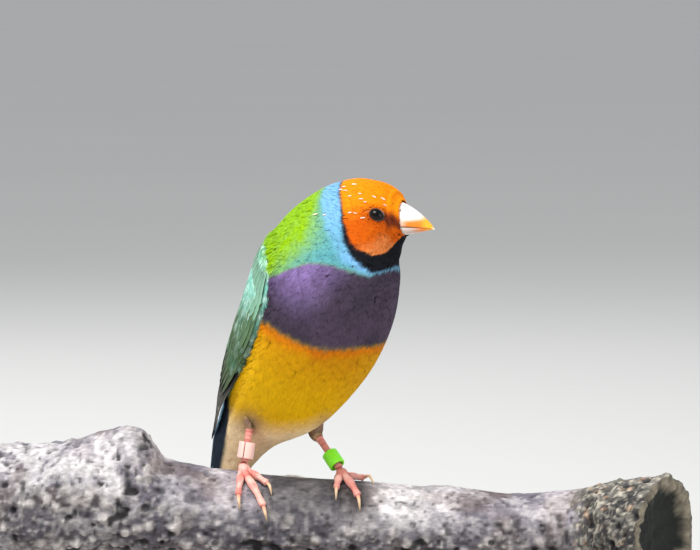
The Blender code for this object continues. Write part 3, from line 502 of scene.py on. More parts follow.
def plumage_color(section, angle, points):
    """The markings, painted over one another from the tail forward, with soft, uneven edges, and some
    painted light: painted shadow down the rump's sides, a painted highlight on top of the head and painted
    shade in front of each eye.
    """
    away = np.degrees(np.abs(wrapped(angle)))
    away = away + 9 * smooth(away, 128, 150) * (wrapped(angle) > 0)
    section = section + 0.13 * (rough_noise(points, 2.4, 3) - 0.5)
    patch = rough_noise(points, 6.0, 10)
    fine = value_noise(points, 0.9, 14)

    def edge(table, softness):
        border = np.interp(away, MARK_ANGLES, table)
        return smooth(section, border - softness, border + softness)

    tail = smooth(section, 2.8, 1.0)
    foot = np.interp(away, MARK_ANGLES, BREAST_FOOT)
    halo = np.interp(away, MARK_ANGLES, COLLAR_EDGE)
    breast = edge(BREAST_FOOT, 0.07) * (1 - edge(BREAST_TOP, 0.08)) * smooth(away, 58, 72)
    # Painted shadow: the rump's blue turns navy down its sides, away from the back.
    back = paint("rump", ("navy", smooth(away, 24, 60)), ("back", smooth(section, 2.0, 3.4)),
                 ("mantle", smooth(section, 4.6, 6.0) * (0.75 + 0.25 * patch)))
    belly = paint("cream", ("yellow", edge(CREAM_EDGE, 0.45)),
                  ("orange", smooth(section, 3.4, 4.8) * (0.45 + 0.5 * patch)),
                  ("flame", 0.6 * smooth(section, foot - 0.30, foot - 0.02)))
    purple = paint("purple", ("plum", smooth(patch, 0.35, 0.75) * 0.7 + 0.3 * fine),
                   ("violet", smooth(away, 148, 96) * smooth(section, 4.8, 5.9) * (0.45 + 0.75 * fine)))
    side = paint("mantle", ("turquoise", clip(smooth(away, 74, 110) + 0.3 * (fine - 0.5))))
    tinge = smooth(away, 70, 100) * smooth(away, 128, 112) * 0.5 + 0.3 * (patch - 0.4)
    collar = paint("collar", ("turquoise", clip(tinge)))
    # Painted shade: the band from each eye forward to the bill is darkened with the lores brown.
    lores = smooth(section, 10.1, 10.8) * smooth(np.abs(away - 96), 30, 6)
    beard = smooth(away, 112, 134) * smooth(section, 10.6, 9.0)
    flecks = smooth(value_noise(points, 0.65, 20), 0.62, 0.82) * smooth(away, 66, 96)
    # Painted highlight: the mask turns to the paler crown hue on top of the head, where light falls from
    # above.
    mask = paint("mask", ("crown", clip(0.95 * smooth(away, 92, 52) + 0.35 * (fine - 0.5))),
                 ("lores", lores * smooth(section, 12.0, 11.5)),
                 ("tan", np.clip(0.9 * beard * (0.3 + fine), 0, 0.8)),
                 ("lores", 0.55 * flecks * (0.35 + 0.65 * smooth(away, 100, 130))),
                 ("lores", 0.25 * smooth(patch, 0.6, 0.9) * smooth(away, 60, 90)))
    under = smooth(away, 62 + 36 * tail, 84 + 32 * tail) * (1 - edge(BREAST_FOOT, 0.10))
    rim = smooth(section, halo - 0.3 - 0.5 * smooth(away, 40, 90), halo + 0.05)
    color = paint(back, (belly, under), (side, edge(BREAST_TOP, 0.12) * smooth(away, 40, 62)),
                  (purple, breast), ("turquoise", rim * (0.55 + 0.35 * fine) * (1 - breast)),
                  (collar, edge(COLLAR_EDGE, 0.13)), ("black", edge(BLACK_EDGE, 0.045)),
                  (mask, edge(MASK_EDGE, 0.05)))
    for leg in FEET.values():
        middle, reach = np.array(leg["smudge"])
        offset = (points - leg_line(leg)[1] - middle) / reach
        near = np.exp(-((offset**2).sum(-1)))
        color = paint(color, (HUES["thigh"] * 0.8, 0.85 * near * (section < 4.0)))
    return color


FEET = {
    "right": {
        "stand_x": -24.4, "stand_angle": radians(12.0), "hip": (-5.2, -8.6, 21.0),
        "plump": 0.95, "heel": (-23.1, -2.2, LEVEL_Z + 12.2),
        "smudge": ((0.4, 0.0, 1.8), (2.9, 15.0, 3.0)),
        "toes": {
            "inner": (-23.2, -18.6, -17.5, 16, 35, 50, 1.0),
            "middle": (-24.2, -19.4, -18.6, 22, 67, 83, 1.1),
            "outer": (-25.0, -25.6, -25.2, 20, 56, 72, 1.0),
            "hind": (-24.8, -23.6, -23.2, -8, -54, -74, 1.1),
        },
    },
    "left": {
        "stand_x": -0.6, "stand_angle": radians(2.0), "hip": (0.3, 6.8, 20.5),
        "plump": 1.2, "heel": (-5.9, 5.0, LEVEL_Z + 9.2),
        "smudge": ((0.9, 0.0, 4.0), (1.7, 15.0, 3.4)),
        "toes": {
            "inner": (-1.2, -1.8, -1.9, 12, 35, 51, 1.0),
            "middle": (0.4, 3.5, 3.9, 12, 46, 64, 1.1),
            "outer": (0.8, 5.0, 7.4, 0, 3, 18, 1.0),
            "hind": (-1.0, -2.4, -2.8, -16, -56, -76, 1.1),
        },
    },
}
TARSUS_RADIUS, TOE_RADIUS = 0.85, 0.86
BAND_INNER, BAND_OUTER, BAND_HEIGHT, BAND_LIFT = 1.45, 2.0, 4.0, 0.4

BRANCH_LEFT, BRANCH_RIGHT = -86.5, 86.5
BRANCH_STATIONS = np.array([
    (-86.5, 8.5, 13.6), (-62.0, 8.4, 13.2), (-45.0, 5.0, 12.6), (-24.0, 1.2, 11.4),
    (0.0, -0.6, 10.9), (30.0, -2.4, 10.6), (54.0, -3.6, 10.8), (66.0, -0.6, 12.4),
    (86.5, 0.4, 13.2),
])
KNOT_X, KNOT_ANGLE, KNOT_HEIGHT = -51.0, radians(8.0), 6.4
CUT_START, CUT_SHEAR, CUT_DEPTH = 50.0, 0.62, 2.4


def branch_line(x):
    """Height of the branch's axis and its plain radius at x."""
    x = np.asarray(x, float)
    top, radius = 0.0, 0.0
    for shift in (-5.0, 0.0, 5.0):
        top = top + np.interp(x + shift, BRANCH_STATIONS[:, 0], BRANCH_STATIONS[:, 1])
        radius = radius + np.interp(x + shift, BRANCH_STATIONS[:, 0], BRANCH_STATIONS[:, 2])
    return LEVEL_Z + top / 3 - radius / 3, radius / 3


def branch_radius(x, angle):
    """Radius of the bark: a slow swell, knobs below and one big knot. Angle 0 is the top, 90
    degrees the viewer's side; it stays calm where the feet are."""
    _, radius = branch_line(x)
    x, angle = np.broadcast_arrays(x, angle)
    swell = 0.35 * np.sin(x / 9.0 + 2 * angle) + 0.22 * np.sin(x / 4.1 - 3 * angle + 1.0)
    knobs = 0.45 * np.sin(x / 2.3 + 4 * angle) * smooth(np.cos(angle), 0.3, -0.5)
    away = wrapped(angle - KNOT_ANGLE)
    hump = np.where(x < KNOT_X, hill(x, KNOT_X, 13.0), np.exp(-(((x - KNOT_X) / 5.0) ** 4)))
    knot = KNOT_HEIGHT * hump * hill(away, 0.0, 0.62)
    return radius + (swell + knobs) * (1 - 0.85 * foot_ground(x, angle)) + knot


def foot_ground(x, angle):
    """1 on the smooth top of the branch round the feet, 0 away from them."""
    return smooth(np.cos(angle), 0.1, 0.7) * smooth(x, -34, -28) * smooth(x, 22, 14)


def branch_point(x, angle, lift=0.0):
    """A point that stands off the bark by lift."""
    axis, _ = branch_line(x)
    reach = branch_radius(x, angle) + lift
    x, angle, reach, axis = np.broadcast_arrays(x, angle, reach, axis)
    return np.stack([x, -reach * np.sin(angle), axis + reach * np.cos(angle)], axis=-1)


def foot_root(foot):
    """Where a tarsus meets its foot, just above the bark."""
    return branch_point(foot["stand_x"], foot["stand_angle"], GAP + TOE_RADIUS + 1.3)


def leg_line(foot):
    """Lower end, heel and direction of a tarsus."""
    root, heel = foot_root(foot), np.array(foot["heel"])
    along = unit(heel - root)
    return root + along * (1.15 + GAP), heel, along


def thigh_rings(foot, inset, count=28, sides=48):
    """Rings down a feathered thigh, from the hip inside the belly to just above the heel."""
    _, heel, along = leg_line(foot)
    hip = place(np.array(foot["hip"]))
    low = heel + along * GAP
    knee = low + along * 1.6
    path = curve_through([low, knee, knee + (hip - low) * 0.4, hip], count)
    stations = np.array([1.15, 1.5, 1.8, 2.1, 2.4, 2.7, 2.9, 3.0, 3.1]) * foot["plump"]
    stations[0] = 1.15
    radii = np.interp(np.linspace(0, 8, count), np.arange(9), stations) - inset
    rings = path_rings(path, np.maximum(radii, 0.5), sides)
    return path[::-1], radii[::-1], rings[::-1]


def with_thigh(points, foot):
    """Skin points round a hip drawn out along the thigh: a point at distance d from where the
    thigh leaves the belly goes to the place 1 - d/reach of the way down the leg."""
    path, radii, _ = thigh_rings(foot, 0.75, count=60)
    flat = points.reshape(-1, 3)
    gaps = [np.linalg.norm(flat - p, axis=1).min() for p in path]
    pierce = int(np.argmin(gaps))
    middle = path[pierce]
    axis = unit(path[min(pierce + 3, len(path) - 1)] - middle)
    offset = flat - middle
    distance = np.linalg.norm(offset, axis=1)
    reach = radii[pierce] * 1.9
    near = distance < reach
    down = 1 - distance[near] / reach
    at = pierce + down * (len(path) - 1 - pierce)
    steps = np.arange(len(path))
    centre = read_path(path, at, steps)
    radius = np.interp(at, steps, radii)
    radius = radius * np.sqrt(clip(smooth(down, 1.0, 0.86)))
    sideways = offset[near] - (offset[near] @ axis)[:, None] * axis
    drawn = centre + unit(sideways) * radius[:, None]
    share = smooth(down, 0.0, 0.3)[:, None]
    flat[near] = flat[near] * (1 - share) + drawn * share
    return flat.reshape(points.shape)


def with_lids(points, side):
    """Skin points round an eye raised into a rim of lid, and sunk behind the eyeball inside it."""
    out = eye_frame(side)[-1]
    x, y, z = eye_places(points, side)
    spread = eye_spread(x, y)
    turn = np.arctan2(y / EYE_OPENING[1], x / EYE_OPENING[0])
    ball = np.clip(1 - (x / EYE_RADIUS) ** 2 - (y / (0.84 * EYE_RADIUS)) ** 2, 0.02, 1.0)
    ball = EYE_RADIUS * np.sqrt(ball)
    beads = 0.035 * np.sin(26 * turn) * smooth(spread, 0.98, 1.08) * smooth(spread, 1.3, 1.15)
    rim = ball + 0.05 + 0.13 * smooth(spread, 0.96, 1.08) + beads
    lid = rim * smooth(spread, 1.5, 1.14) + z * smooth(spread, 1.14, 1.5)
    sunk = ball - 0.6
    wanted = lid * smooth(spread, 0.9, 1.0) + sunk * smooth(spread, 1.0, 0.9)
    near = (spread < 1.5) & (z > 0)
    return points + (np.where(near, wanted - z, 0.0)[..., None]) * out


def skin_rings():
    """Rings of the skin from the tail root to the bill, under the feathers by the coat's depth."""
    section = np.concatenate([np.linspace(0, 7.8, 80)[:-1], np.linspace(7.8, 12.0, 120)])
    angle = np.linspace(-pi, pi, 240, endpoint=False)
    section, angle = section[:, None], angle[None, :]
    lift = coat_top(section, angle) - coat_depth(section)
    grain = rough_noise(body_surface(section, angle, lift), 1.1, 21) - 0.5
    points = body_surface(section, angle, lift + 0.08 * grain)
    for foot in FEET.values():
        points = with_thigh(points, foot)
    for side in (1, -1):
        points = with_lids(points, side)
    return section, angle, points


def skin_tint(section, angle, points):
    """The plumage's markings, darkened to 0.9 as painted shade under the feathers, with grey lids that
    have a pale rim below the eye.
    """
    # Painted shade: the skin deep under the feathers takes their colours at 0.9.
    color = 0.9 * plumage_color(section + 0 * angle, angle + 0 * section, points)
    for side in (1, -1):
        x, y, z = eye_places(points, side)
        spread = eye_spread(x, y)
        lid = smooth(spread, 1.3, 1.16) * (z > 0)
        pale = smooth(-y / EYE_OPENING[1], 0.35, 0.85) * smooth(spread, 1.02, 1.1)
        grey = paint("lid", ("lid_rim", 0.6 * pale * smooth(x, -0.6, 0.8)))
        color = paint(color, (grey, lid))
    return color


def make_skin(material):
    """One closed skin: the body's rings, its eye rims and both thighs, capped at tail and bill."""
    section, angle, points = skin_rings()
    tint = skin_tint(section, angle, points)
    make_tube("skin", points, material, tint=tint, slot="head_plumage",
              replaced=("rump", "belly", "breast", "neck", "head", "thigh_right", "thigh_left"))


def strand_faces(count, rings):
    """Faces of count strands of rings triangles each and a point at the tip, closed at the root."""
    size = 3 * rings + 1
    quads = [(r * 3 + k, r * 3 + (k + 1) % 3, (r + 1) * 3 + (k + 1) % 3, (r + 1) * 3 + k)
             for r in range(rings - 1) for k in range(3)]
    last = 3 * (rings - 1)
    triangles = [(last + k, last + (k + 1) % 3, size - 1) for k in range(3)] + [(2, 1, 0)]
    base = (np.arange(count) * size)[:, None, None]
    return [(np.array(quads)[None] + base).reshape(-1, 4),
            (np.array(triangles)[None] + base).reshape(-1, 3)]


STRAND_OVERLAP = 2.1


def make_tufts(name, material, sheet, u, v, rng, look, slot):
    """Tufts of narrow strands. A strand's line is root + forward r + sideways (0.3 + 0.7 r), for r
    from 0 to its length, laid on the sheet, and rises from the skin to the outside of the coat."""
    count, strands, rings = len(u), look["strands"], look.get("rings", 3)
    steps = np.linspace(0, 1, rings + 1)
    spread = np.linspace(-1, 1, strands)[None, :] + rng.normal(0, 0.10, (count, strands))
    length = look["length"](u, v) * rng.uniform(0.85, 1.12, count)
    width = length * look.get("width", 0.42)
    reach = length[:, None] * (1 - 0.24 * spread**2) * rng.uniform(0.84, 1.06, (count, strands))
    forward = reach[..., None] * steps
    sideways = (width / 2)[:, None, None] * spread[..., None] * (0.3 + 0.7 * steps**0.8)
    turn = look["turn"](u, v) if "turn" in look else np.zeros(count)
    turn = (turn + rng.normal(0, look.get("stray", 0.06), count))[:, None, None]
    back = forward * np.cos(turn) - sideways * np.sin(turn)
    across = forward * np.sin(turn) + sideways * np.cos(turn)
    per_u = np.linalg.norm(sheet.read(sheet.along, u, v), axis=-1)[:, None, None]
    per_v = np.linalg.norm(sheet.read(sheet.around, u, v), axis=-1)[:, None, None]
    way = look.get("way", -1.0)
    uu = u[:, None, None] + way * back / per_u
    vv = v[:, None, None] + across / per_v
    depth = look["depth"](u)[:, None, None]
    loft = rng.normal(0, 0.018, count)[:, None, None] * np.minimum(depth, 1.0)
    lift = -depth * (1 - steps) ** 2.4 - 0.05 * depth + loft * steps
    lift = lift - 0.05 * width[:, None, None] * spread[..., None] ** 2 * steps
    lift = np.minimum(lift, -0.02)
    if "climb" in look:
        lift = lift + look["climb"](u[:, None, None], v[:, None, None], uu, vv)
    centre = look.get("surface", sheet.lifted)(uu, vv, lift)
    normal = sheet.read(sheet.normals, np.clip(uu, *sheet.u_span), wrapped(vv))
    tangent = unit(np.gradient(centre, axis=2))
    side = unit(np.cross(tangent, normal))
    thick = width[:, None] / strands * STRAND_OVERLAP
    thick = thick * rng.uniform(0.8, 1.2, (count, strands))
    taper = np.interp(steps[:-1], (0, 0.35, 0.7, 1), (0.75, 1.0, 0.8, 0.0))
    half = (thick[..., None] * taper)[..., None] / 2
    ring = centre[..., :-1, :]
    rise = normal[..., :-1, :] * half * 0.15
    corners = np.stack([ring - side[..., :-1, :] * half - rise, ring + side[..., :-1, :] * half - rise,
                        ring + rise * 1.6], axis=3)
    keep = look["keep"](centre) if "keep" in look else np.ones((count, strands), bool)
    painted = 0.6 * uu + 0.4 * uu[..., -2:-1]
    tint = look["color"](painted, vv, centre)
    tint = tint * rng.normal(1.0, 0.03, (count, 1, 1, 1))
    tint = tint * rng.normal(1.0, look.get("streak", 0.06), (count, strands, 1, 1))
    # Painted shade: every strand is darker towards its root, where the feathers over it shade it.
    shade = np.interp(steps, (0, 0.4, 0.8, 1), (0.94, 0.98, 1.0, 1.01))
    roots = unwrap_round(uu[..., 0][keep], vv[..., 0][keep], *look.get("span", (0.0, 1.0)))
    points, tints, uvs = strand_arrays(corners[keep], centre[keep][:, -1], tint[keep], shade, roots)
    obj = make_piece(name, points, strand_faces(int(keep.sum()), rings), material, tint=tints,
                     uvs={"OFBake": uvs}, slot=slot)
    sharpen_strands(obj.data, 3 * rings + 1)


def sharpen_strands(mesh, size):
    """Marks the side edges of every strand as sharp, so that its lit face isn't rounded off."""
    ends = np.empty(len(mesh.edges) * 2, np.int32)
    mesh.edges.foreach_get("vertices", ends)
    local = ends.reshape(-1, 2) % size
    corner = np.where(local == size - 1, 0, local % 3)
    layer = mesh.attributes.new("sharp_edge", "BOOLEAN", "EDGE")
    layer.data.foreach_set("value", (corner != 2).all(axis=1))


def strand_arrays(corners, tips, tint, shade, roots):
    """Points, tints and map places of strands, each strand's map a patch 0.003 across."""
    count, rings = corners.shape[:2]
    points = np.concatenate([corners.reshape(count, rings * 3, 3), tips[:, None]], axis=1)
    # The tints carry the painted shade at the strands' roots.
    tints = np.repeat(tint * shade[None, :, None], 3, axis=1)[:, :-2]
    r = np.concatenate([np.repeat(np.arange(rings) / rings, 3), [1.0]]) - 0.5
    k = np.concatenate([np.tile((0.0, 1.0, 0.5), rings), [0.5]]) - 0.5
    uvs = roots[:, None, :] + 0.003 * np.stack([k, r], axis=-1)[None]
    return points.reshape(-1, 3), tints.reshape(-1, 3), uvs.reshape(-1, 2)


def round_the_eye(section, angle):
    """How far feathers turn from straight back to part round the eye: near it, the part of their
    flow that heads into it is taken out."""
    here = body_surface(section, angle, 0.0)
    back = -unit(BODY_SHEET.read(BODY_SHEET.along, section, angle))
    across = unit(BODY_SHEET.read(BODY_SHEET.around, section, angle))
    turn = np.zeros(section.shape)
    for side in (1, -1):
        _, forward, up, _ = eye_frame(side)
        x, y, z = eye_places(here, side)
        a, b = EYE_OPENING[0] * 1.25, EYE_OPENING[1] * 1.25
        spread = eye_spread(x, y, 1.25)
        flow = np.stack([back @ forward, back @ up], axis=-1)
        sideways = np.stack([across @ forward, across @ up], axis=-1)
        away = unit(np.stack([x / a**2, y / b**2], axis=-1))
        inward = np.minimum(np.sum(flow * away, axis=-1), 0.0)
        weight = smooth(spread, 2.4, 1.15) * (z > 0)
        parted = flow - away * (inward * weight * 1.1)[..., None]
        parted[..., 1] += 0.25 * weight * np.sign(y) * (inward < 0)
        angle_here = np.arctan2(np.sum(parted * sideways, -1), np.sum(parted * flow, -1))
        turn = np.where(weight > 0, angle_here, turn)
    return turn


def clear_of_eyes(centre):
    """True for strands that never cross the bare rim of an eye."""
    keep = np.ones(centre.shape[:2], bool)
    for side in (1, -1):
        x, y, z = eye_places(centre, side)
        keep &= ~((eye_spread(x, y, 1.14) < 1.0) & (z > 0)).any(axis=2)
    return keep


def feather_length(section, angle):
    """Feathers get longer from the bill to the vent, and are shortest beside the eyes."""
    length = np.interp(section, (0, 1, 2.5, 4.5, 6.0, 7.2, 8.2, 9.5, 11.0, 12.0),
                       (7.5, 7.0, 6.2, 4.9, 3.9, 2.8, 1.9, 1.5, 1.1, 0.6))
    here = body_surface(section, angle, 0.0)
    for side in (1, -1):
        x, y, z = eye_places(here, side)
        spread = eye_spread(x, y)
        length = length * np.where(z > 0, 0.5 + 0.5 * smooth(spread, 1.2, 2.4), 1.0)
    return length


def wing_run(section):
    """How far a section lies along a folded wing, from 0 at its bend to 1 at its tip."""
    return (section - WING_START) / (WING_END - WING_START)


def wing_edges(u):
    """Angles of a folded wing's upper and lower edge, in degrees from the back."""
    return np.interp(u, WING_STEPS, WING_UPPER), np.interp(u, WING_STEPS, WING_LOWER)


WING_START, WING_END = 5.5, 0.85
WING_STEPS = (0.0, 0.15, 0.4, 0.7, 0.88, 1.0)
WING_UPPER = (44.0, 20.0, 9.0, 9.0, 22.0, 44.0)
WING_LOWER = (80.0, 91.0, 91.0, 82.0, 72.0, 60.0)


def wing_share(section, angle, rim=0.0):
    """1 where a folded wing covers the body, with rim degrees added round it, 0 outside it."""
    u = wing_run(section)
    away = np.degrees(np.abs(wrapped(angle)))
    upper, lower = wing_edges(u)
    upper, lower = upper - rim, lower + rim
    inside = smooth(away, upper, upper + 8) * smooth(away, lower, lower - 8)
    return smooth(u, -rim / 120, 0.06 - rim / 120) * smooth(u, 1.0, 0.9) * inside


def climb_the_wing(root, root_angle, section, angle):
    """Feathers rooted clear of the wing rise over its rim; those rooted under it stay under."""
    clear = 1 - smooth(wing_share(root, root_angle), 0.1, 0.4)
    u = wing_run(section)
    off, deep = wing_slab(clip(u))
    over = wing_share(section, angle, 9.0) * smooth(root - section, 0.08, 0.4)
    return (off + deep + 0.25) * clear * over * smooth(u, 0.75, 0.55) + coat_top(section, angle)


def toward_the_wing(section, angle):
    """Feathers beside a folded wing turn a little, so that their tips overlap its edges."""
    u = wing_run(section)
    away = np.degrees(np.abs(wrapped(angle)))
    upper, lower = wing_edges(u)
    along = smooth(u, -0.05, 0.1) * smooth(u, 0.8, 0.6)
    below = smooth(away, lower - 6, lower) * smooth(away, lower + 22, lower + 8)
    above = smooth(away, upper + 6, upper) * smooth(away, 2, 7)
    return np.sign(wrapped(angle)) * along * (0.36 * above - 0.52 * below)


HEAD_START = 8.0
# Zones of the coat from tail to bill: first and last section, spacing, strands in a tuft, slot
COAT_ZONES = {
    "coat_rump": (0.0, 1.3, 1.35, 9, "rump_plumage"),
    "coat_vent": (1.3, 2.5, 1.35, 9, "belly_plumage"),
    "coat_belly": (2.5, 3.6, 1.2, 9, "belly_plumage"),
    "coat_flanks": (3.6, 4.5, 1.1, 9, "belly_plumage"),
    "coat_breast": (4.5, 5.4, 0.95, 9, "breast_plumage"),
    "coat_chest": (5.4, 6.3, 0.88, 8, "breast_plumage"),
    "coat_neck": (6.3, 7.2, 0.78, 8, "neck_plumage"),
    "coat_collar": (7.2, 8.1, 0.58, 7, "neck_plumage"),
    "coat_cheeks": (8.1, 9.2, 0.37, 7, "head_plumage"),
    "coat_face": (9.2, 10.5, 0.33, 7, "head_plumage"),
    "coat_forehead": (10.5, 12.0, 0.29, 7, "head_plumage"),
}


def make_coat(material, density, seed):
    """The body's feathers in zones along the body, each zone a piece with its own map."""
    for index, (name, (low, high, spacing, strands, slot)) in enumerate(COAT_ZONES.items()):
        rng = np.random.default_rng(seed + index)
        step = spacing / sqrt(density)
        u, v = BODY_SHEET.scatter(
            rng, lambda a, b: step * (1 + 1.2 * wing_share(a, b)), (low, high))
        look = {
            "strands": strands, "length": feather_length, "depth": coat_depth, "span": (low, high),
            "surface": body_surface, "climb": climb_the_wing, "color": plumage_color,
            "turn": toward_the_wing, "stray": 0.05,
        }
        if low > HEAD_START:
            look.update(rings=2, stray=0.09, width=0.5, turn=round_the_eye, keep=clear_of_eyes)
        make_tufts(name, material, BODY_SHEET, u, v, rng, look, slot)


def bill_collar():
    """The sheet that joins the feathers of the face to the base of the bill."""
    turn = np.linspace(-pi, pi, 181)
    fuller = FOREHEAD_LIFT * smooth(np.cos(turn), 0.25, 0.95)
    rows = [body_surface(section, turn, lift + share * fuller) for section, lift, share in
            ((10.8, 0.02, 0.97), (11.2, 0.05, 0.85), (11.6, 0.0, 0.4))]
    for k, lift in ((0.05, 0.12), (0.10, 0.06), (0.16, 0.0)):
        culmen, mouth, keel, width = bill_profile(k)
        rise = np.where(np.cos(turn) > 0, culmen - mouth, mouth - keel) + lift
        up = mouth + rise * signed_power(np.cos(turn), 0.9)
        ring = np.stack([bill_along(k, up), (width + lift) * np.sin(turn), up], axis=-1)
        rows.append(place(turned(ring, BILL_ROOT)))
    rows = np.array(rows).reshape(6, -1)
    return Sheet(spline(rows, np.linspace(0, 5, 40)).reshape(40, 181, 3))


def make_bill_edge(material, seed):
    """Short feathers that lie back from the base of the bill, with an uneven front edge."""
    sheet = bill_collar()
    rng = np.random.default_rng(seed + 61)
    u, v = sheet.scatter(rng, lambda a, b: 0.27 + 0 * a, (0.12, 0.80))
    keep = u < 0.58 + 0.08 * rng.random(len(u)) + 0.04 * np.sin(np.abs(v))
    look = {
        "strands": 5, "rings": 2, "length": lambda a, b: 0.9 + 0 * a, "width": 0.5,
        "depth": lambda a: 0.12 + 0 * a, "stray": 0.1,
        "color": lambda a, b, p: plumage_color(10.8 + 1.2 * a, b, p),
    }
    make_tufts("coat_bill", material, sheet, u[keep], v[keep], rng, look, "head_plumage")


def make_quills(material, seed):
    """New feathers still in their pale sheaths: short spindles that lie among the others."""
    rng = np.random.default_rng(seed + 71)
    parts = []
    for index, (section, away) in enumerate(PIN_FEATHERS):
        for side in (-1, 1):
            if side > 0 and index % 3 == 0:
                continue
            turn = radians(side * away + rng.normal(0, 1.0))
            length = rng.uniform(0.7, 1.15)
            per = np.linalg.norm(BODY_SHEET.read(BODY_SHEET.along, section, turn))
            run = ramp(9)
            swerve = rng.normal(0, 0.02)
            path = body_surface(section - run * length / per, turn + swerve * run,
                                coat_top(section, turn) + 0.02 + 0.16 * run)
            radii = rng.uniform(0.13, 0.19) * np.interp(run, (0, 0.3, 0.8, 1), (0.7, 1, 0.8, 0.15))
            parts.append(closed_tube(path_rings(path, radii, 8)))
    points, faces = merged(parts)
    tint = paint("pin", ("pin_base", np.clip(1.6 * (value_noise(points, 0.5, 113) - 0.45), 0, 0.8)))
    make_piece("quills", points, faces, material, tint=tint, slot="head_plumage")


def nearest_plumage(points):
    """Section, angle and distance outwards of the plumage nearest to each point."""
    sections, angles = BODY_SHEET.u[:150:4], BODY_SHEET.v[::6]
    flat = BODY_SHEET.points[:150:4, ::6].reshape(-1, 3)
    normals = BODY_SHEET.normals[:150:4, ::6].reshape(-1, 3)
    spots = points.reshape(-1, 3)
    near = np.array([np.argmin(((flat - spot) ** 2).sum(1)) for spot in spots])
    i, j = np.unravel_index(near, (len(sections), len(angles)))
    out = ((spots - flat[near]) * normals[near]).sum(1)
    shape = points.shape[:-1]
    return sections[i].reshape(shape), angles[j].reshape(shape), out.reshape(shape)


def make_thigh_coat(material, seed):
    """Short soft feathers down each thigh, warm brown outside and yellow towards the belly."""

    def color(a, b, p):
        section, angle, _ = nearest_plumage(p)
        share = smooth(a + 0.3 * (value_noise(p, 1.2, 5) - 0.5), 0.45, 0.8)
        return paint(plumage_color(section, angle, p),
                     ("thigh", share * (1 - 0.7 * smooth(a, 0.88, 0.99))))

    look = {
        "strands": 6, "rings": 2, "length": lambda a, b: 3.2 - 1.9 * a,
        "depth": lambda a: 0.55 + 0 * a, "color": color, "way": 1.0,
    }
    for side, foot in FEET.items():
        _, _, rings = thigh_rings(foot, 0.0, sides=37)
        rings[:, -1] = rings[:, 0]
        sheet = Sheet(rings)
        rng = np.random.default_rng(seed + 31 + len(side))
        u, v = sheet.scatter(rng, lambda a, b: 0.5 + 0 * a, (0.15, 0.97))
        clear = nearest_plumage(sheet.lifted(u, v, 0 * u))[2] > 0.55
        make_tufts(f"coat_thigh_{side}", material, sheet, u[clear], v[clear], rng, look, "thigh_plumage")


SPREADS = np.array([-1.0, -0.82, -0.6, -0.36, -0.14, -0.045, 0.0, 0.045, 0.14, 0.36, 0.6, 0.82, 1.0])
VANE_THICKNESS = 0.14
# Rows of the wing: count, root, tips, root and tip across, half width, rise over the slab, tilt,
# and steps along each feather
WING_ROWS = {
    "primary": (8, 0.46, (0.72, 0.83, 0.93, 0.99, 1.0, 0.985), (0.60, 0.94), (0.16, 0.88), 0.075,
                0.40, 0.17, 34),
    "secondary": (8, 0.22, (0.58, 0.65, 0.66), (0.30, 0.90), (0.32, 0.88), 0.064, 0.80, 0.17, 28),
    "tertial": (3, 0.18, (0.50, 0.58, 0.65), (0.08, 0.24), (0.08, 0.28), 0.10, 1.0, 0.2, 26),
    "greater": (11, 0.10, (0.37, 0.42, 0.39), (0.08, 0.94), (0.08, 0.94), 0.054, 1.15, 0.15, 20),
    "median": (11, 0.04, (0.24, 0.27, 0.24), (0.08, 0.92), (0.08, 0.92), 0.056, 1.25, 0.12, 16),
}


def wing_point(side, u, w, lift):
    """A point of the folded wing: u runs from its bend to its tip, w from its upper edge down."""
    u, w = np.broadcast_arrays(u, w)
    section = WING_START + (WING_END - WING_START) * u
    upper, lower = wing_edges(u)
    return body_surface(section, side * np.radians(upper + (lower - upper) * w), lift)


def wing_slab(u):
    """How far the inner face of the wing stands off the plumage, and how thick it is."""
    off = GAP + 0.5 * smooth(u, 0.45, 0.7) - 0.6 * smooth(u, 0.8, 1.0)
    return off, np.interp(u, (0.0, 0.04, 0.15, 0.3, 0.62), (0.5, 0.75, 0.8, 0.6, 0.5))


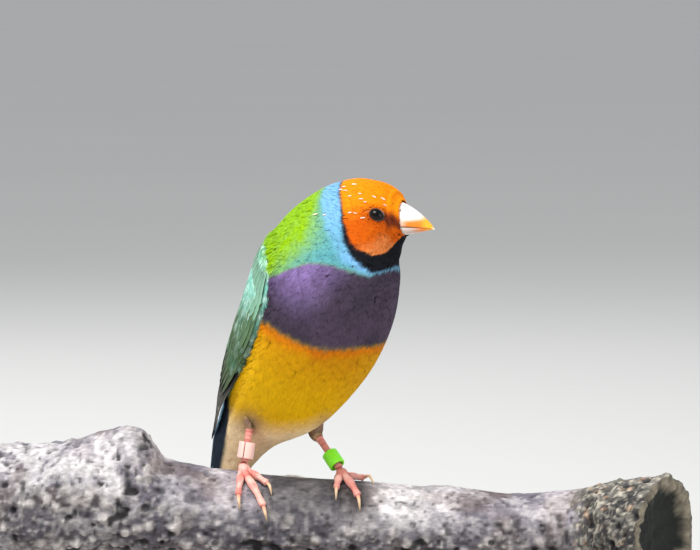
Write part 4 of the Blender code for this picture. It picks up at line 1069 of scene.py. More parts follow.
def vane(surface, rows, rng, top=0.46):
    """A feather as a thin closed sheet. Its rows give place along, place across, half width, lift
    and tilt; its lift across is tilt x + camber (1 - x^2) + a ridge for the shaft, and small
    splits are cut back from its edges. Returns its points, faces, places and run."""
    count, columns = len(rows), len(SPREADS)
    along, across, half, lift, tilt = (rows[:, k, None] for k in range(5))
    spreads = SPREADS[None, :]
    run = ramp(count)[:, None]
    split = 1 - 0.07 * rng.random((count, 1)) * smooth(run, 0.25, 0.6)
    for side in (-1, 1):
        if rng.random() < 0.75:
            where = rng.uniform(0.45, 0.92)
            split = split - 0.25 * hill(run, where, 0.025) * (spreads * side > 0.7)
    x = spreads * split
    place_across = across + half * x
    reach = (along[-1, 0] - along[0, 0]) * 0.05 * (1 - np.abs(spreads) ** 1.6)
    place_along = along + reach * smooth(run, 0.7, 1.0)
    under = lift + tilt * x + 0.14 * (1 - x**2) * np.minimum(1, half / half.max())
    shaft = 0.07 * hill(spreads, 0.0, 0.06) * (1 - 0.8 * run)
    wave = 0.02 * np.sin(run * 50 + np.abs(x) * 9 + rng.uniform(0, 6))
    place_along = place_along + 0 * under
    high = surface(place_along, place_across, under + top + shaft + wave)
    body = VANE_THICKNESS * (1 - 0.75 * np.abs(spreads) ** 3) * (1 - 0.6 * run)
    low = surface(place_along, place_across, under + top + wave - body)
    i, j = np.meshgrid(np.arange(count - 1), np.arange(columns - 1), indexing="ij")
    a, b = i * columns + j, i * columns + j + 1
    c, d = b + columns, a + columns
    above = np.stack([a, b, c, d], -1).reshape(-1, 4)
    base = count * columns
    rim = np.concatenate([np.arange(columns), np.arange(2, count + 1) * columns - 1,
                          (count - 1) * columns + np.arange(columns - 2, -1, -1),
                          np.arange(count - 2, 0, -1) * columns])
    after = np.roll(rim, -1)
    edge = np.stack([rim + base, after + base, after, rim], -1)
    quads = np.vstack([above, above[:, ::-1] + base, edge])
    points = np.vstack([high.reshape(-1, 3), low.reshape(-1, 3)])
    here = points[quads[: len(above)]]
    facing = np.cross(here[:, 1] - here[:, 0], here[:, 3] - here[:, 0]).sum(0)
    outward = (high - low).sum((0, 1))
    if float(facing @ outward) < 0:
        quads = quads[:, ::-1]
    places = np.stack(np.broadcast_arrays(spreads, run), -1)
    return points, [quads], places


def vane_maps(places, index, cells_across, length, width):
    """A vane's two maps: its own cell of the bake's square, and its size in millimetres."""
    row, column = divmod(index, cells_across)
    x, y = (places[..., 0] + 1) / 2, places[..., 1]
    bake = []
    for half in (0, 1):
        across = (column + 0.04 + (x * 0.44 + 0.48 * half)) / cells_across
        up = (row + 0.04 + 0.92 * y) / cells_across
        bake.append(np.stack([across, up], -1).reshape(-1, 2))
    sized = np.stack([np.abs(places[..., 0]) * width, y * length], -1).reshape(-1, 2)
    return np.vstack(bake), np.vstack([sized, sized])


def make_vanes(name, material, feathers, replaced, slot):
    """One piece from many vanes, with their tints and maps; each vane's lower sheet has its tint at 0.8,
    as painted shade.
    """
    parts, tints, bakes, sizes = [], [], [], []
    cells_across = ceil(sqrt(len(feathers)))
    for index, (points, faces, places, tint, length, width) in enumerate(feathers):
        parts.append((points, faces))
        # Painted shade: the lower sheet of each vane takes the upper sheet's tint at 0.8.
        tints.append(np.vstack([tint.reshape(-1, 3), tint.reshape(-1, 3) * 0.8]))
        bake, sized = vane_maps(places, index, cells_across, length, width)
        bakes.append(bake)
        sizes.append(sized)
    points, faces = merged(parts)
    make_piece(name, points, faces, material, replaced=replaced, slot=slot, tint=np.vstack(tints),
               uvs={"OFBake": np.vstack(bakes), "Vane": np.vstack(sizes)})


def wing_tint(kind, places, points, rng):
    """A wing feather's colour: darker inside, paler along its edges and its outer web."""
    x, run = places[..., 0], places[..., 1]
    rough = value_noise(points.reshape(*x.shape, 3), 1.6, 17)
    if kind == "primary":
        share = 0.85 * (smooth(x, 0.72, 0.92) * smooth(run, 0.15, 0.35))
    else:
        share = clip(0.15 + 0.55 * smooth(np.abs(x), 0.5, 1.0) + 0.35 * (rough - 0.3))
    inner = 0.6 * (smooth(-x, 0.1, 0.6) * (kind == "secondary"))
    tone = paint(kind, (f"{kind}_edge", share), ("inner_web", inner))
    tone = tone * (1 - 0.4 * hill(x, 0.0, 0.05))[..., None]
    return tone * rng.normal(1.0, 0.07) * (0.72 + 0.28 * smooth(run, 0.0, 0.5))[..., None]


def wing_feathers(side, rng):
    """Every feather of one wing, row by row, each from its root out to its tip."""
    made = []
    for kind, (count, root_u, tips, root_w, tip_w, half, rise, tilt, steps) in WING_ROWS.items():
        for k in range(count):
            f = k / (count - 1)
            tip_u = np.interp(f, np.linspace(0, 1, len(tips)), tips) + rng.uniform(-0.006, 0.006)
            start_w = root_w[0] + (root_w[1] - root_w[0]) * f
            end_w = tip_w[0] + (tip_w[1] - tip_w[0]) * f
            run = ramp(steps) ** 0.92
            u = root_u + (tip_u - root_u) * run
            w = start_w + (end_w - start_w) * run
            shape = np.interp(run, (0, 0.25, 0.7, 0.86, 0.95, 1), (0.45, 0.95, 1.05, 0.90, 0.55, 0.16))
            off, deep = wing_slab(u)
            sunk = np.interp(run, (0, 0.3), (1.0, 0.0))
            lift = (off + rise) * (1 - sunk) + (off + 0.25 * deep) * sunk
            lift = lift - 0.5 * smooth(u, 0.74, 0.95)
            lean = tilt * np.interp(run, (0, 0.15, 0.45), (0.0, 0.35, 1.0))
            rows = np.column_stack([u, w, half * shape, lift, lean])
            points, faces, places = vane(lambda a, b, c: wing_point(side, a, b, c), rows, rng)
            size = len(points) // 2
            tint = wing_tint(kind, places, points[:size], rng)
            made.append((points, faces, places, tint, 9.0 + 14 * (tip_u - root_u), 2.2))
    return made


def make_wing(side, material, under, seed):
    """A folded wing of separate feathers, and the arm that they grow from."""
    name = "left" if side > 0 else "right"
    rng = np.random.default_rng(seed + side)
    make_vanes(f"feathers_wing_{name}", material, wing_feathers(side, rng), (f"wing_{name}",),
               "wing_feathers")
    make_tube(f"arm_{name}", arm_rings(side, 0.0, 64)[:, :-1], under, tint=HUES["arm"],
              slot="wing_feathers")
    high = 0.30 + 1.15 * smooth(ramp(60)[:, None], 0.06, 0.24)
    sheet = Sheet(arm_rings(side, high, 48))
    u, v = sheet.scatter(rng, lambda a, b: 0.62 + 1.3 * smooth(np.sin(b), 0.2, -0.5), (0.0, 0.8))
    keep = (rng.random(len(u)) < 1 - smooth(u, 0.42, 0.74)) & (np.sin(v) > 0.12)
    look = {
        "strands": 6, "length": lambda a, b: 3.2 + 2.6 * smooth(a, 0.0, 0.4), "way": 1.0,
        "depth": lambda a: 0.28 + 0.3 * smooth(a, 0.06, 0.2), "color": wing_down_color,
        "streak": 0.17,
    }
    make_tufts(f"coat_wing_{name}", under, sheet, u[keep], v[keep], rng, look, "wing_feathers")


def arm_rings(side, lift, sides):
    """Closed rings along the arm of a wing: flat inside, domed outside and rounded at the bend."""
    run = ramp(60)[:, None]
    ring = np.linspace(-pi, pi, sides + 1)[None, :]
    u = 0.66 * run
    nose = np.sqrt(1 - (1 - clip(run / 0.09)) ** 2 * 0.97)
    w = 0.5 + (0.5 - 0.5 * np.cos(ring) - 0.5) * (0.25 + 0.75 * nose)
    w = w * (1 - 0.45 * smooth(u, 0.35, 0.66)) + 0.42 * smooth(u, 0.35, 0.66)
    off, deep = wing_slab(u)
    arch = np.abs(np.sin(ring))
    dome = arch**0.8 * (deep - 0.15) * nose + lift * arch**0.25
    dome = np.where(np.sin(ring) > 0, dome, 0.02)
    return wing_point(side, u + 0.0 * ring, w, off + dome)


def wing_down_color(u, v, points):
    """Green down the wing, with a turquoise painted sheen at the bend and along the outer curve, and pale
    painted highlights in streaks.
    """
    fine = value_noise(points, 0.8, 131)
    patch = rough_noise(points, 3.5, 137)
    # Painted light over the wing's green: turquoise sheen at the bend, pale highlight streaks mostly
    # towards the bend.
    return paint("wing_bend", ("wing_green", clip(smooth(u, 0.08, 0.60) + 0.5 * (patch - 0.5))),
                 ("back", 0.7 * smooth(u, 0.13, 0.03)),
                 ("wing_streak", np.clip(1.9 * (fine - 0.42), 0, 0.9) * (1 - 0.75 * smooth(u, 0.3, 0.7))))


TAIL_S, TAIL_Z = -25.8, 0.6
TAIL_LEAN = radians(12.0)
# Tail feathers in pairs: kind, root, place across, spread, lift, tip, half width, tilt, point
TAIL_ROWS = (
    ("centre", 3.0, 0.80, 0.45, 1.5, 40.0, 1.15, 0.1, 0.30),
    ("tail", 3.0, 1.20, 0.75, 0.9, 31.0, 1.15, 0.12, 0.62),
    ("tail", 3.0, 1.60, 1.00, 0.2, 29.0, 1.15, 0.12, 0.66),
    ("tail", 3.0, 2.00, 1.25, -0.5, 26.5, 1.1, 0.12, 0.7),
    ("tail", 3.0, 2.30, 1.50, -1.2, 24.0, 1.05, 0.12, 0.7),
    ("tail", 3.0, 2.50, 1.70, -1.9, 21.5, 1.0, 0.12, 0.7),
    ("above", 0.5, 0.90, 0.30, 2.7, 18.0, 1.5, 0.3, 0.7),
    ("above", 0.0, 2.60, 0.65, 1.6, 15.5, 1.5, 0.4, 0.7),
    ("above", 0.5, 3.10, 0.55, 0.4, 13.0, 1.4, 0.5, 0.7),
    ("above", -1.0, 1.60, 0.40, 2.9, 12.5, 1.5, 0.35, 0.7),
    ("above", -1.5, 0.60, 0.20, 3.3, 10.0, 1.4, 0.2, 0.7),
    ("below", 0.5, 0.95, 0.25, -3.6, 16.5, 1.5, -0.3, 0.7),
    ("below", 0.0, 2.20, 0.35, -3.1, 12.5, 1.4, -0.4, 0.7),
    ("below", -0.5, 1.50, 0.35, -3.9, 11.0, 1.5, -0.35, 0.7),
)


def tail_point(t, across, lift):
    """A point of the tail: t down from its root, across to the bird's left, lift backwards."""
    t, across, lift = np.broadcast_arrays(t, across, lift)
    s = TAIL_S - t * sin(TAIL_LEAN) - lift * cos(TAIL_LEAN)
    z = TAIL_Z - t * cos(TAIL_LEAN) + lift * sin(TAIL_LEAN)
    return place(np.stack([s, across, z], axis=-1))


def make_tail(material, seed):
    """Twelve tail feathers, the middle pair long and pointed, with blue coverts over their roots
    and cream ones under them."""
    rng = np.random.default_rng(seed)
    made = []
    for kind, root_t, across, spread, lift, tip_t, half, tilt, point in TAIL_ROWS:
        for side in (1, -1):
            run = np.linspace(0, 1, 34 if kind in ("centre", "tail") else 20)
            t = root_t + (tip_t - root_t + rng.uniform(-0.4, 0.2)) * run
            shape = half * np.interp(run, (0, 0.25, 0.7, 0.9, 1), (0.55, 0.95, 1.0, point, 0.25 * point))
            low = lift * np.interp(run, (0, 0.3), (0.2, 1.0))
            lean = -side * tilt * np.interp(run, (0, 0.2, 0.5), (0.0, 0.4, 1.0))
            rows = np.column_stack([t, side * (across + spread * run), shape, low, lean])
            top = 0.12 if kind == "below" else 0.46
            points, faces, places = vane(tail_point, rows, rng, top)
            # Painted shadow: the outer coverts over the tail darken to navy.
            darker = smooth(across, 0.8, 1.5) * (kind == "above")
            dark, pale = (paint(hue, ("navy", darker)) for hue in (kind, f"{kind}_edge"))
            share = 0.2 + 0.6 * smooth(np.abs(places[..., 0]), 0.4, 1.0) * rng.uniform(0.5, 1.0)
            tint = paint(dark, (pale, share)) * (1 - 0.4 * hill(places[..., 0:1], 0.0, 0.05))
            made.append((points, faces, places, tint, tip_t - root_t, half))
    turn = circle(40)
    rings = [tail_point(t, half * np.cos(turn), deep * np.sin(turn)) for t, half, deep in (
        (-3.5, 2.2, 3.2), (-2.0, 3.0, 3.9), (2.0, 3.1, 3.2), (6.0, 3.0, 2.1), (10.0, 2.7, 0.9))]
    rings = spline(np.array(rings).reshape(5, -1), np.linspace(0, 4, 20)).reshape(20, 40, 3)
    make_vanes("feathers_tail", material, made, ("tail",), "tail_feathers")
    make_tube("tail_root", rings, material, slot="tail_feathers", tint=HUES["tail_root"])


def ball_mesh(centre, axes, sides, rings):
    """A closed ball: centre + sin p cos t axis0 + sin p sin t axis1 + cos p axis2."""
    polar = np.linspace(0, pi, rings + 2)[1:-1, None]
    turn = circle(sides)[None, :]
    local = np.stack([np.sin(polar) * np.cos(turn), np.sin(polar) * np.sin(turn),
                      np.cos(polar) + 0 * turn], -1)
    points = np.vstack([(centre + local @ axes).reshape(-1, 3), centre + axes[2], centre - axes[2]])
    return points, tube_faces(rings, sides, flip=np.linalg.det(axes) < 0)


def make_eyes(material):
    """Each eyeball: dark brown iris round a black pupil, under a clear smooth dome."""
    for side, name in ((1, "left"), (-1, "right")):
        centre, forward, up, out = eye_frame(side)
        axes = np.array([forward * EYE_RADIUS, up * EYE_RADIUS * 0.84, out * EYE_RADIUS])
        points, faces = ball_mesh(centre, axes, 64, 40)
        x, y, _ = eye_places(points, side)
        reach = np.sqrt(x**2 + y**2)
        iris = smooth(reach, 0.85, 0.95) * smooth(reach, 1.7, 1.45)
        streak = 0.7 + 0.3 * np.sin(np.arctan2(y, x) * 37)
        tint = paint("pupil", ("iris", iris * streak))
        make_piece(f"eyeball_{name}", points, faces, material, tint=tint, slot="eye",
                   replaced=(f"eye_{name}",))


BILL_TIP_S, BILL_TIP_Z = 41.9, 62.7
BILL_SPLIT_Z, BILL_HALF_WIDTH = 63.2, 3.8
BROW_S, BROW_Z, CHIN_S, CHIN_Z = BODY_SECTIONS[-1, :4]
NOSTRIL = (33.75, 66.9)


def bill_profile(k):
    """Culmen height, mouth line, keel height and half width of the bill, from base to tip."""
    top, low = BROW_Z + 0.4, CHIN_Z - 0.3
    culmen = top + (BILL_TIP_Z - top) * (0.5 * k + 0.5 * k**2.2)
    mouth = BILL_SPLIT_Z + (BILL_TIP_Z - BILL_SPLIT_Z) * k**1.5
    keel = low + (BILL_TIP_Z - 0.2 - low) * k**1.1
    width = BILL_HALF_WIDTH * (1 - k) ** 0.72 * (1 - 0.18 * k) + 0.14
    return culmen, mouth, keel, width


def bill_along(k, up, deeper=0.0):
    """How far forward the bill's surface lies, from its slanting base at 0 to its tip at 1."""
    base = BROW_S + (CHIN_S - BROW_S) * ((BROW_Z - up) / (BROW_Z - CHIN_Z)) - deeper
    return base + (BILL_TIP_S - base) * k


def nostril(along, up, half_length, half_height):
    """1 inside the oval of a nostril, 0 outside it."""
    return np.exp(-(((along - NOSTRIL[0]) / half_length) ** 2
                    + ((up - NOSTRIL[1]) / half_height) ** 2) ** 2)


def make_bill(material):
    """Two horny halves round a thin dark mouth line. Each ring is half an oval over or under the
    cutting edge, with a nostril sunk near the base and fine lines of growth."""
    seam = 0.10
    for name, reach in (("upper", 1.0), ("lower", 0.94)):
        k = (ramp(90) ** 0.85 * reach)[:, None]
        culmen, mouth, keel, width = bill_profile(k)
        arc = np.linspace(0, pi, 49)[None, :]
        inner = np.linspace(pi, 0, 16)[None, 1:-1]
        if name == "upper":
            edge = mouth - GAP / 2 + seam / 2
            up = edge + np.maximum(culmen - edge, 0.25) * np.sin(arc) ** 0.9
            side = width * np.cos(arc) * (1 - 0.035 * np.sin(2 * arc) ** 2)
            roof = edge + 0.3 * np.sin(inner) * (1 - k)
            hook = -0.28 * smooth(k, 0.9, 1.0)
            up, roof = up + hook, roof + hook
        else:
            edge = mouth - GAP / 2 - seam / 2
            up = edge - np.maximum(edge - keel, 0.22) * np.sin(arc) ** 0.8
            side = 0.95 * width * np.cos(arc) + 0 * arc
            roof = edge - 0.25 * np.sin(inner) * (1 - k)
        inside = width * np.cos(inner) * (0.95 if name == "lower" else 1.0)
        up, side = np.hstack([up, roof + 0 * inner]), np.hstack([side, inside])
        tuck = 1 - 0.3 * smooth(k, 0.17, 0.0)
        up, side = edge + (up - edge) * tuck, side * tuck
        along = bill_along(k, up, deeper=1.5)
        if name == "upper":
            for sign in (1, -1):
                side = side - sign * 0.4 * (nostril(along, up, 0.45, 0.28) * (side * sign > 0))
        growth = 0.018 * np.sin(along * 7.5 + 0.6 * np.sin(arc[0, 24] + up)) * smooth(k, 0.0, 0.2)
        side = side * (1 + growth / 3)
        rings = place(turned(np.stack([along, side, up], -1), BILL_ROOT))
        make_tube(f"horn_{name}", rings, material, slot="bill", replaced=(f"bill_{name}",),
                  tint=bill_tint(name, k, up, edge, along, side))


def bill_tint(name, k, up, edge, along, side):
    """Ivory, with orange along the cutting edges that widens to the tip, and a pale very tip. On the upper
    half this is partly painted light: a painted highlight on top and painted shade along the sides.
    """
    height = np.abs(up - edge)
    k = k + 0 * up
    noise = value_noise(np.stack([along * 0.5, side, up], -1), 1.3, 41) - 0.5
    if name == "lower":
        return paint("rose", ("ivory", 0.45 + 0.5 * noise),
                     ("bill_orange", smooth(k + 0.08 * noise, 0.38, 0.72)), ("gold", smooth(k, 0.7, 0.95)))
    # Partly painted light: the upper half stays ivory on top as a painted highlight, orange below as
    # painted shade.
    line = 1.5 + 1.3 * k**1.5 + 0.35 * noise
    edging = smooth(height, line + 0.6, line - 0.9) * smooth(k, 0.02, 0.4)
    return paint("ivory", ("bill_orange", edging), ("gold", smooth(k + 0.05 * noise, 0.62, 0.85)),
                 ("ivory", smooth(k, 0.93, 1.0) * 0.8),
                 ("nostril", 0.85 * nostril(along, up, 0.38, 0.22)))


def scute_rise(place_along, step, facing, height):
    """Overlapping plates: each rises steeply at its upper edge and falls away to the next."""
    share = np.mod(place_along / step, 1.0)
    plate = np.minimum(share / 0.15, 1.0) * (1 - 0.75 * share)
    return height * plate * smooth(facing, 0.05, 0.55)


def leg_tint(places, groove, seed):
    """Pink skin, deeper in the grooves between plates and a little paler on top of them."""
    noise = value_noise(places, 1.4, seed)
    return paint("leg", ("leg_groove", clip(noise * 1.1)),
                 ("plate", np.clip(groove * 3.0, 0, 0.5)))


def make_tarsus(name, foot, material):
    """A bare leg with plates down its front and a fine line down its back."""
    start, heel, along = leg_line(foot)
    count, sides = 120, 40
    run = ramp(count)
    path = (start - along * 0.35) + run[:, None] * (heel - start + along * 0.75)
    front = np.array([0.25, -1.0, 0.0])
    front = unit(front - along * (front @ along))
    other = np.cross(along, front)
    turn = circle(sides)[None, :]
    radius = TARSUS_RADIUS * np.interp(run, (0, 0.2, 0.75, 1), (1.1, 0.95, 0.98, 1.12))[:, None]
    length = np.linalg.norm(heel - start) + 0.7
    rise = scute_rise(run[:, None] * length, length / 7.6, np.cos(turn), 0.15)
    seam = 0.05 * hill(wrapped(turn - pi), 0.0, 0.12)
    reach = radius + rise - seam
    points, faces = closed_tube(path[:, None] + reach[..., None] * spokes(turn, front, other))
    tint = leg_tint(points, np.append(rise, [0, 0]), 51)
    make_piece(f"shank_{name}", points, faces, material, tint=tint, slot="leg_skin",
               replaced=(f"tarsus_{name}",))


def make_foot(name, foot, skin, horn):
    """Toes with plates on top and soft pads below, that grip the bark, and a claw on each."""
    root = foot_root(foot)
    parts, grooves = [], []
    for toe, (x0, x1, x2, a0, a1, a2, thick) in foot["toes"].items():
        angles = np.radians([a0, (a0 + a1) / 2, a1])
        lift = GAP + TOE_RADIUS * thick
        knots = [root + (branch_point(x0, angles[0], lift) - root) * 0.15,
                 branch_point(x0, angles[0], lift + 0.35),
                 branch_point((x0 + x1) / 2, angles[1], lift + 0.15),
                 branch_point(x1, angles[2], lift + 0.05)]
        path = curve_through(knots, 64)
        run = ramp(64)
        swell = 1 + 0.13 * np.cos(run * 4 * pi)
        radii = TOE_RADIUS * thick * swell * np.interp(run, (0, 1), (1.08, 0.84))
        radii = radii * np.sqrt(1 - 0.75 * smooth(run, 0.95, 1.0))
        rings = path_rings(path, radii, 28)
        middle = path[:, None]
        out = unit(rings - middle)
        axis, _ = branch_line(path[:, 0])
        away = unit(path - np.stack([path[:, 0], 0 * axis, axis], -1))[:, None]
        facing = np.sum(out * away, -1)
        steps = np.linalg.norm(np.diff(path, axis=0), axis=1).sum()
        rise = scute_rise(-run[:, None] * steps, steps / 11, facing, 0.10)
        pads = 0.07 * smooth(-facing, 0.2, 0.8) * (0.5 + 0.5 * np.cos(run * 8 * pi))[:, None]
        rings = rings + out * (rise + pads)[..., None]
        parts.append(closed_tube(rings))
        grooves.append(np.append(rise, [0, 0]))
        ahead = unit(path[-1] - path[-4])
        start = path[-1] - ahead * 0.25
        tip = branch_point(x2, radians(a2), GAP + 0.25)
        knee = branch_point((x1 + x2) / 2, radians((a1 + a2) / 2), lift + 0.95)
        make_claw(f"talon_{name}_{toe}", (start, knee, tip), horn, f"claw_{name}_{toe}")
    pad = ball_mesh(root - np.array([0, 0, 0.35]), np.diag([1.35, 1.25, 1.05]), 40, 24)
    parts.append(pad)
    grooves.append(np.zeros(len(pad[0])))
    points, faces = merged(parts)
    tint = paint(leg_tint(points, np.concatenate(grooves), 57),
                 ("toe", 0.5 * smooth(value_noise(points, 2.0, 59), 0.3, 0.7)))
    make_piece(f"toes_{name}", points, faces, skin, tint=tint, slot="leg_skin", replaced=(f"foot_{name}",))


def make_claw(name, knots, material, node):
    """A curved claw that narrows to a point: pinkish at its root, paler beige along it and a little dusky
    at its tip.
    """
    path = curve_through(np.array(knots), 36)
    run = ramp(36)
    radii = TOE_RADIUS * 0.56 * np.interp(run, (0, 0.1, 0.4, 0.7, 0.9, 1),
                                          (0.85, 1.0, 0.84, 0.58, 0.34, 0.10))
    rings = path_rings(path, radii, 20, flat=0.9)
    points, faces = closed_tube(rings)
    share = np.append(np.repeat(run, 20), [0, 1])
    tint = paint("claw", ("claw_side", smooth(share, 0.1, 0.6)),
                 ("claw_tip", 0.35 * smooth(share, 0.7, 1.0)))
    make_piece(name, points, faces, material, tint=tint, slot="claw_horn", replaced=(node,))


def make_ring(name, foot, material, slit, node, slot):
    """A split ring: a rounded oblong carried round the leg from one lip of its slit to the other."""
    start, _, along = leg_line(foot)
    low = start + along * BAND_LIFT
    side = unit(np.cross(along, (0, 1, 0)))
    other = np.cross(along, side)
    turn = slit + np.linspace(0.07, 2 * pi - 0.07, 120)[:, None]
    corner = circle(32)[None, :]
    half_wide, half_high, soft = (BAND_OUTER - BAND_INNER) / 2, BAND_HEIGHT / 2, 0.16
    wide = (half_wide - soft) * np.sign(np.cos(corner)) + soft * np.cos(corner)
    high = (half_high - soft) * np.sign(np.sin(corner)) + soft * np.sin(corner)
    reach = (BAND_INNER + BAND_OUTER) / 2 + wide
    height = half_high + high
    rings = low + along * height[..., None] + spokes(turn, side, other) * reach[..., None]
    make_tube(name, rings, material, slot=slot, replaced=(node,))


def cells(points, scale, seed):
    """Distance to the nearest of one random spot per lattice cell, and that spot's own number."""
    table = np.random.default_rng(seed).random((16, 16, 16, 4))
    p = points / scale
    best, number = np.full(p.shape[:-1], 9.0), np.zeros(p.shape[:-1])
    for shift in np.ndindex(3, 3, 3):
        near = np.floor(p).astype(int) + shift - 1
        i, j, k = np.moveaxis(near % 16, -1, 0)
        spot = table[i, j, k]
        gap = np.linalg.norm(near + spot[..., :3] - p, axis=-1)
        number = np.where(gap < best, spot[..., 3], number)
        best = np.minimum(best, gap)
    return best, number


def bark_relief(x, angle, points):
    """How far the bark stands out: plates and pits, rough and flaky below with round knobs,
    crusted at the healed end, and raised to meet the toes where the bird stands."""
    below = smooth(np.cos(angle), 0.25, -0.45)
    front = smooth(np.sin(angle), 0.1, 0.8)
    end = smooth(x, 54, 62)
    left = smooth(x, -52, -66)
    broken = clip(below + 0.45 * front * smooth(np.cos(angle), 0.75, 0.2) + 0.6 * end
                  + 0.35 * left + 0.9 * hill(x, -49, 5.0))
    coarse = rough_noise(points, 5.0, 61, 4) - 0.5
    ridged = 1 - np.abs(2 * rough_noise(points * (0.6, 1, 1), 3.2, 67, 3) - 1)
    crumbs = smooth(value_noise(points, 1.5, 71), 0.58, 0.8)
    gap, number = cells(points, 3.4, 139)
    knobs = smooth(gap, 0.55, 0.12) * (number > 0.35) * (0.4 + number)
    small_gap, other = cells(points, 1.5, 149)
    grit = smooth(small_gap, 0.5, 0.1) * (other > 0.4)
    relief = 0.9 * coarse + broken * (1.7 * (ridged - 0.72) + 1.0 * knobs + 0.45 * grit)
    crumbs = clip(0.5 * crumbs + 0.9 * knobs + 0.6 * grit)
    pits = smooth(value_noise(points, 2.1, 73), 0.66, 0.84) * (0.35 + 0.65 * broken)
    crack = smooth(value_noise(points * (0.35, 1.6, 1.6), 2.4, 79), 0.72, 0.8) * (1 - broken)
    relief = relief - 0.9 * pits - 0.3 * crack
    ground = smooth(x, -33, -28) * smooth(x, 15, 10) * smooth(np.cos(angle), -0.15, 0.15)
    spot = white_spot(x, angle, 2.4)
    relief = relief * (1 - 0.9 * ground) + 0.24 * ground + 0.9 * spot * (0.5 + coarse)
    return relief, pits, crumbs, broken


def white_spot(x, angle, reach):
    """1 inside the pale crusted spot on the branch's top between the feet, 0 outside it."""
    return np.exp(-(((x + 12.0) / reach) ** 4) - ((wrapped(angle) + 0.12) / 0.16) ** 4)


def bark_tint(x, angle, points, relief, pits, crumbs, broken):
    """Grey with a lavender cast, brown patches, pale lichen and dark pits, with painted shade: darker on
    the underside and where the bark is sunk, and the bird's shadow painted on its top round the feet.
    """
    noise = rough_noise(points, 9.0, 83)
    small = rough_noise(points, 1.8, 89)
    tiny = value_noise(points, 0.9, 109)
    fine = value_noise(points, 0.55, 151)
    up, near = np.cos(angle), np.sin(angle)
    patch = hill(x, 15.0, 11.0) * smooth(up, -0.3, 0.3)
    lichen = smooth(rough_noise(points, 5.2, 101, 4) + 0.30 * (tiny - 0.5), 0.47, 0.62)
    lichen = clip(lichen + 0.8 * patch)
    where = clip(0.22 + 0.46 * smooth(x, -34, -60) + 0.08 * smooth(x, 24, 44) + 0.9 * patch)
    specks = smooth(tiny, 0.28, 0.16) * (0.25 + 0.75 * smooth(near, -0.2, 0.7))
    color = paint(
        "bark", ("bark_pale", clip(0.9 * smooth(noise, 0.42, 0.66) * (0.4 + small))),
        ("bark_brown", 0.6 * smooth(value_noise(points, 6.5, 97), 0.55, 0.8)),
        ("lichen", lichen * where * (0.4 + 0.7 * small)),
        ("bark_dark", 0.7 * specks))
    # Darker over the rough, broken bark, and painted shade over the whole underside.
    shade = clip(broken * (1.25 - 1.3 * small))
    shade = clip(shade + 0.6 * smooth(up, 0.5, -0.1))
    # Painted shadow: the bird's shadow on the top of the branch round its feet.
    uneven = x + 8 * (noise - 0.5)
    bird_shadow = smooth(uneven, -23, -17) * smooth(uneven, 9, 4)
    cracks = smooth(small + 0.7 * (fine - 0.5), 0.55, 0.30)
    rind = paint(
        "rind", ("rind_pale", smooth(tiny + 0.5 * (fine - 0.5), 0.45, 0.85)),
        ("rind_tan", 0.5 * smooth(value_noise(points, 2.1, 157), 0.70, 0.84)),
        # Dark cracks, and painted shade on the rind's underside.
        ("bark_dark", np.clip(cracks + 0.45 * smooth(up, 0.75, -0.1), 0, 0.95)))
    color = paint(
        color * (1 - 0.72 * bird_shadow * smooth(up, -0.2, 0.5))[..., None],
        ("bark_dark", 0.55 * shade), ("crumb", 0.6 * crumbs * broken),
        (rind, 0.95 * smooth(x + 9 * (small - 0.5), 55, 60)),
        ("whitewash", white_spot(x + 3 * (small - 0.5), angle, 2.3)),
        # Dark pits, and painted shade wherever the bark is sunk.
        ("bark_dark", np.clip(0.9 * pits + 0.8 * smooth(-relief, 0.35, 1.0), 0, 0.95)))
    return color * (0.72 + 0.56 * value_noise(points, 0.8, 103))[..., None]


def make_branch(material):
    """The cut branch: bark in rings along its axis, a sawn left end, and a right end that healed
    round a slanting cut with a dark hollow inside."""
    count, sides = 330, 190
    end_x = BRANCH_RIGHT - CUT_SHEAR * 13.2
    x = np.linspace(BRANCH_LEFT + 0.05, end_x, count)[:, None]
    angle = circle(sides)[None, :]
    smooth_points = branch_point(x, angle)
    relief, pits, crumbs, broken = bark_relief(x, angle, smooth_points)
    rings = branch_point(x, angle, relief)
    tint = bark_tint(x, angle, smooth_points, relief, pits, crumbs, broken)
    shear = CUT_SHEAR * smooth(x, CUT_START, end_x)
    rings[..., 0] = np.minimum(rings[..., 0] + shear * rings[..., 1], BRANCH_RIGHT - 0.4)
    left, left_tint = end_face(rings[0], np.array([-1.0, 0.0, 0.0]), 0.0)
    normal = unit(np.array([1.0, -CUT_SHEAR, 0.0]))
    right, right_tint = end_face(rings[-1], normal, CUT_DEPTH)
    left[..., 0] = np.maximum(left[..., 0], BRANCH_LEFT + 0.05)
    make_tube("bark", np.vstack([left[::-1], rings, right]), material, slot="bark",
              tint=np.vstack([left_tint[::-1], tint, right_tint]), replaced=("perch_branch",))


